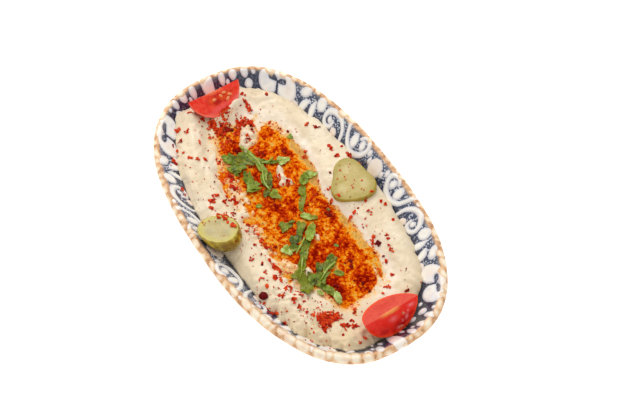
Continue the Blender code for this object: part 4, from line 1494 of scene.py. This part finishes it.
# %% Grit in the pool
pool_heaps = []
chance = np.random.default_rng(207)
for _ in range(560):
    spin = chance.uniform(0, math.tau)
    share = math.sqrt(chance.uniform(0, 1)) * (1.02 if spin < math.pi else 1.16)
    grit_x = POOL_CENTRE[0] + float(shore_reach(spin)) * share * math.cos(spin)
    grit_y = POOL_CENTRE[1] + float(shore_reach(spin)) * share * math.sin(spin)
    want = 0.55 + 0.3 * float(layered_hills(np.array(grit_x), np.array(grit_y), 7.0, 96))
    for centre, half, strength in PAPRIKA:
        want += strength * float(mound(grit_x, grit_y, centre, half))
    if want > chance.uniform(0.1, 1.0):
        pool_heaps.append((grit_x, grit_y, 0.8, 0.8, 3))
grit = strew("paprika_grit", pool_heaps, 0.42, 208, lift=-0.12)
wear(grit, flake_finish("paprika", colour(120, 14, 4), colour(196, 44, 6), colour(230, 96, 14)), "pepper_flakes")

# %% [markdown]
# Two whole bits of dried pepper skin are larger and nearly black, folded on themselves.

# %% Two dark lumps


def pepper_lump(name, place, half, seed):
    bpy.ops.object.select_all(action="DESELECT")
    bpy.ops.mesh.primitive_ico_sphere_add(subdivisions=4, radius=1.0)
    lump = bpy.context.object
    lump.name = name
    x, y, z = (corners_of(lump) * MM).T
    folds = 1 + 0.22 * hills(x * 3 + z, y * 3, 1.6, seed) + 0.1 * np.abs(hills(x * 3, y * 3 - z * 2, 0.8, seed + 1))
    below, _ = landing(*place)
    lift = below.z + half[2] * 0.55
    move_corners(lump, place[0] + x * half[0] * folds, place[1] + y * half[1] * folds, lift + z * half[2] * folds)
    store(lump, "shade", np.full(len(x), 0.25))
    tidy_skin(lump)
    return lump


lump_look = flake_finish("pepper_skin", colour(60, 6, 10), colour(112, 14, 16), colour(140, 22, 14))
wear(pepper_lump("pepper_lump_near", (38, -43.6), (2.3, 2.2, 1.4), 211), lump_look, "pepper_flakes")
wear(pepper_lump("pepper_lump_far", (41.5, 27.3), (1.7, 1.4, 1.0), 213), lump_look, "pepper_flakes")

# %% [markdown]
# ## Parsley
# Flat-leaf parsley was chopped roughly: torn lobes that curl, long slivers and bits of stem. A leaf is
# a round sheet whose outline is pushed into lobes and teeth; it is draped over what lies below, with
# its own curl on top, and given a thin blade. Pieces are given as
# (x, y, direction in degrees, length, width, how many lobes, lift, how pale).

# %% Leaves
LEAVES = [
    (-18.5, 21, 60, 6, 5, 3, 1.4, 0.75), (-17.5, 16, -50, 9, 5, 1, 1.0, 0.35), (-12, 11, -40, 7, 4.6, 1, 0.4, -0.4),
    (-6, 7.5, -42, 11, 3.6, 0, 0.15, -0.4), (-35, 12.5, 70, 7, 5.6, 3, 1.6, 0.8), (-38, 6, 58, 10, 2.6, 0, 1.0, 0.3),
    (-41.5, 2, 70, 6, 3, 1, 0.8, 0.2), (-48, -1.5, 12, 16, 4.0, 1, 1.4, 0.6), (-38, -0.5, -4, 14, 4.4, 1, 2.2, 0.5),
    (-30, -3, -32, 11, 3.8, 1, 2.0, 0.45), (-47, -6, 25, 12, 6, 3, 1.0, 0.2), (-50, -12, 30, 11, 6, 3, 1.2, 0.35),
    (-45, -10.5, -20, 12, 7, 5, 1.6, 0.2), (-54, -14, 35, 6, 3, 1, 0.8, 0.4), (-44, -15, 10, 8, 4, 3, 1.0, 0.3),
    (-30, -11, 5, 12, 6.6, 5, 1.6, 0.4), (-27, -12.5, 60, 7, 5, 3, 2.2, 0.5), (-36, -10, 15, 8, 3.4, 1, 0.9, 0.15),
    (-24, -3.5, -20, 9, 4.0, 3, 1.4, 0.05), (-28, 0, -30, 9, 2.4, 0, 1.2, 0.1), (-17, -3.5, 15, 7, 5, 3, 1.4, 0.45),
    (-21, -7, -40, 6, 3, 1, 0.8, 0.05), (-15.5, -15, 60, 3.6, 2.6, 1, 0.8, 0.5), (-47.5, 25, 20, 3.4, 2.8, 3, 0.6, 0.4),
    (5, 4, 40, 8, 4.2, 1, 1.6, 0.7), (7.5, 7, 60, 4, 2.6, 1, 1.4, 0.4), (-1.5, 4, -10, 4, 2.2, 1, 0.7, 0.3),
    (9.5, -2.5, -35, 10, 4.4, 3, 1.4, 0.3), (15.5, -0.5, -42, 12, 5.2, 1, 2.2, 0.55), (12.5, -5.5, -28, 10, 3.2, 1, 1.0, 0.15),
    (4, -9.5, 85, 7, 6, 3, 1.4, 0.25), (3.2, -5, 80, 4, 1.6, 0, 1.0, 0.3), (15, -10.5, -30, 9, 4.6, 3, 1.2, 0.1),
    (19, -12.5, 70, 7, 4, 3, 1.4, 0.3), (18, -17.2, 15, 6.6, 5, 3, 1.6, 0.85), (20.5, -6, -55, 9, 4, 1, 1.0, 0.25),
    (24.5, -10, -40, 10, 4.6, 1, 1.2, 0.35), (30.5, -15, -35, 10, 4.4, 1, 0.8, -0.35), (35.5, 0, -75, 9, 4.6, 3, 1.2, 0.15),
    (38.5, -3.5, -60, 9, 5, 3, 1.6, 0.3), (37, -8, -40, 9, 4, 3, 1.2, 0.1), (43.5, -10.5, -60, 10, 5.4, 5, 2.0, 0.3),
    (41.5, -15, -45, 9, 5.6, 3, 1.6, 0.2), (47.5, -12, 20, 10, 4, 3, 1.2, 0.25), (36.5, -19.5, 25, 11, 6, 3, 1.4, -0.4),
    (43.5, -20.5, -10, 13, 6.2, 5, 2.0, -0.35), (52, -10.5, 22, 9, 4.4, 1, 1.6, 0.4), (58, -9.5, -15, 8, 4.0, 1, 2.2, 0.9),
    (51, -16, 10, 4.6, 3.0, 1, 1.4, 0.85), (45, -0.5, 40, 6, 3.4, 1, 0.2, 0.3), (29, 8, 30, 3, 2, 1, 0.3, 0.2),
    (6.5, 17, 20, 2.6, 2, 1, 0.3, 0.2),
]
# Each stem is a list of (x, y, height above what lies below).
STEMS = [
    [(-57, -3.5, 0.8), (-50, -1.8, 1.8), (-42, -0.4, 2.6), (-35, -1.2, 2.8), (-29, -4.5, 1.6)],
    [(-40, 9, 0.8), (-38.5, 5, 1.6), (-40, 0.5, 1.4)], [(16, -4, 1.4), (20, -9.5, 1.8), (22.5, -14, 1.2)],
    [(-33, -2, 2.2), (-27, -4.6, 2.0), (-21, -4.4, 1.2)], [(38, 2, 1.0), (40.5, -5, 2.0), (44.5, -12, 1.6)],
    [(26, -11.5, 1.4), (31, -15.5, 1.4), (36, -18.5, 1.0)],
]


def landing_heights(x, y):
    heights = np.empty(len(x))
    for number, (here_x, here_y) in enumerate(zip(x, y)):
        place, _ = landing(here_x, here_y)
        heights[number] = place.z if place else 0.0
    return heights


def make_leaf(number, x, y, direction, length, width, lobes, lift, pale):
    leaf = sheet_of_corners(f"leaf_{number}", 19, 15)
    out, angle = bend_to_disc(leaf)
    chance = np.random.default_rng(300 + number)
    outline = 1 + 0.07 * np.cos(angle * 8 + chance.uniform(0, 6)) + 0.04 * np.cos(angle * 13 + chance.uniform(0, 6))
    if lobes > 1:
        outline *= 1 + 0.24 * np.cos(angle * lobes + chance.uniform(-0.4, 0.4))
    u = out * outline * np.cos(angle) * length / 2
    v = out * outline * np.sin(angle) * width / 2
    v = v + chance.uniform(-0.04, 0.04) * u**2
    turn = math.radians(direction)
    place_x = x + u * math.cos(turn) - v * math.sin(turn)
    place_y = y + u * math.sin(turn) + v * math.cos(turn)
    base = landing_heights(place_x, place_y)
    base = base * 0.6 + base.mean() * 0.4
    curl = chance.uniform(0.02, 0.07) * u**2 * chance.choice([-0.5, 1.0]) + chance.uniform(0.0, 0.08) * v**2
    ripple = 0.5 * hills(u, v, 2.2, 320 + number) + 0.07 * np.cos((u - np.abs(v)) * 2.9) - 0.3 * np.exp(-((v / 0.5) ** 2))
    move_corners(leaf, place_x, place_y, np.maximum(base + lift * 0.6 + curl + ripple, base - 0.1))
    vein = np.minimum(np.abs(v), np.abs(np.mod(u - np.abs(v), 2.17) - 1.08) * 0.7 + 0.1)
    store(leaf, "vein", vein)
    store(leaf, "pale", np.full(len(u), pale))
    return leaf


def make_stem(number, points):
    """A tapered tube along a smooth line that follows the ground."""
    line = smooth_line(points, 8)
    line[:, 2] += landing_heights(line[:, 0], line[:, 1])
    tube = sheet_of_corners(f"stem_{number}", 8, len(line) - 1)
    flat = corners_of(tube) * MM
    step = ((flat[:, 1] + 1) / 2 * (len(line) - 1)).round().astype(int)
    turn = flat[:, 0] * math.pi
    ahead = np.gradient(line, axis=0)
    ahead /= np.linalg.norm(ahead, axis=1)[:, None]
    aside = np.cross(ahead, (0, 0, 1.0))
    aside /= np.linalg.norm(aside, axis=1)[:, None]
    over = np.cross(aside, ahead)
    thick = 0.6 * (1 - 0.35 * step / len(line)) * np.where((step == 0) | (step == len(line) - 1), 0.02, 1)
    ring_points = aside[step] * (np.cos(turn) * thick)[:, None] + over[step] * (np.sin(turn) * thick)[:, None]
    move_corners(tube, *(line[step] + ring_points).T)
    store(tube, "vein", np.full(len(step), 1.0))
    store(tube, "pale", np.full(len(step), 0.7))
    return tube


leaves = [make_leaf(number, *leaf) for number, leaf in enumerate(LEAVES)]
parsley = join("parsley_leaves", leaves)
blade = parsley.modifiers.new("blade", "SOLIDIFY")
blade.thickness = 0.28 * MM
blade.offset = 0
select_only(parsley)
bpy.ops.object.modifier_apply(modifier="blade")
bpy.ops.object.shade_smooth()
stems = join("parsley_stems", [make_stem(number, points) for number, points in enumerate(STEMS)])
tidy_skin(stems, 0.03)

# %% Parsley finish


def parsley_finish():
    green = Finish("parsley_green", {"Specular IOR Level": 0.25, "Coat Weight": 0.12, "Coat Roughness": 0.12})
    pale = green.stored("pale")
    vein = green.stored("vein")
    cloud = green.grain(2.6, 3)
    stops = [
        (0.0, colour(62, 76, 6)), (0.3, colour(106, 126, 12)), (0.6, colour(146, 166, 44)),
        (1.0, colour(190, 212, 130)),
    ]
    blade_shade = green.ramp(pale + (cloud - 0.5) * 1.3, stops)
    blade_shade = green.mix(green.step(0.48, 0.66, green.grain(4, 2)) * 0.55, blade_shade, colour(146, 134, 20))
    olive = green.mix(cloud, colour(102, 108, 0), colour(142, 150, 10))
    blade_shade = green.mix(green.step(-0.05, -0.3, pale), blade_shade, olive)
    blade_shade = green.mix(green.step(0.26, 0.05, vein) * 0.25, blade_shade, colour(176, 194, 104))
    green.set("Base Color", blade_shade)
    green.set("Roughness", 0.25 + cloud * 0.25)
    green.relief(green.step(0.0, 0.35, vein) * 0.6 + green.grain(0.7, 2) * 0.4, 0.12)
    return green


herb = parsley_finish()
wear(parsley, herb, "parsley")
wear(stems, herb, "parsley")

# %% [markdown]
# ## Camera, light and floor
# The dish is shown from above one long side's end, as on a menu, on a plain pale floor. A large soft
# lamp behind to the left lights the forms, and an even white sky fills the shadows.

# %% Camera
AIM = Vector((0.00815, 0.00428, 0.036))
CAMERA_AZIMUTH = math.radians(58.2)
CAMERA_ELEVATION = math.radians(55.9)
CAMERA_DISTANCE = 0.798


def add_camera():
    data = bpy.data.cameras.new("menu_camera")
    data.lens = 84.4
    data.sensor_width = 36.0
    data.clip_start = 0.05
    data.clip_end = 20.0
    camera = bpy.data.objects.new("menu_camera", data)
    bpy.context.scene.collection.objects.link(camera)
    back = Vector((
        math.cos(CAMERA_ELEVATION) * math.sin(CAMERA_AZIMUTH),
        -math.cos(CAMERA_ELEVATION) * math.cos(CAMERA_AZIMUTH),
        math.sin(CAMERA_ELEVATION),
    ))
    camera.location = AIM + back * CAMERA_DISTANCE
    camera.rotation_euler = (-back).to_track_quat("-Z", "Y").to_euler()
    bpy.context.scene.camera = camera
    return camera


camera = add_camera()
print("camera at", [round(value, 4) for value in camera.location])

# %% Light and floor


def add_light(name, place, aim, size, power, tint):
    data = bpy.data.lights.new(name, "AREA")
    data.shape = "DISK"
    data.size = size
    data.energy = power
    data.color = tint
    lamp = bpy.data.objects.new(name, data)
    bpy.context.scene.collection.objects.link(lamp)
    lamp.location = place
    lamp.rotation_euler = (Vector(place) - Vector(aim)).to_track_quat("Z", "Y").to_euler()
    return lamp


def add_floor():
    bpy.ops.object.select_all(action="DESELECT")
    bpy.ops.mesh.primitive_plane_add(size=6.0, location=(0, 0, -0.0002))
    floor = bpy.context.object
    floor.name = "floor"
    bpy.ops.object.transform_apply(location=True)
    pale = Finish("pale_floor", {"Base Color": (0.8, 0.8, 0.8, 1), "Roughness": 0.9, "Specular IOR Level": 0.1})
    pale.shader.inputs["Emission Color"].default_value = (1, 1, 1, 1)
    pale.shader.inputs["Emission Strength"].default_value = 0.75
    floor.data.materials.append(pale.material)
    return floor


add_light("soft_key", (-0.72, 0.16, 0.76), (0, 0, 0), 0.9, 5.6, (1.0, 0.985, 0.96))
add_floor()
world = bpy.data.worlds.new("white_sky")
world.use_nodes = True
world.node_tree.nodes["Background"].inputs["Color"].default_value = (1, 1, 1, 1)
world.node_tree.nodes["Background"].inputs["Strength"].default_value = 0.76
bpy.context.scene.world = world
bpy.context.scene.view_settings.view_transform = "Standard"
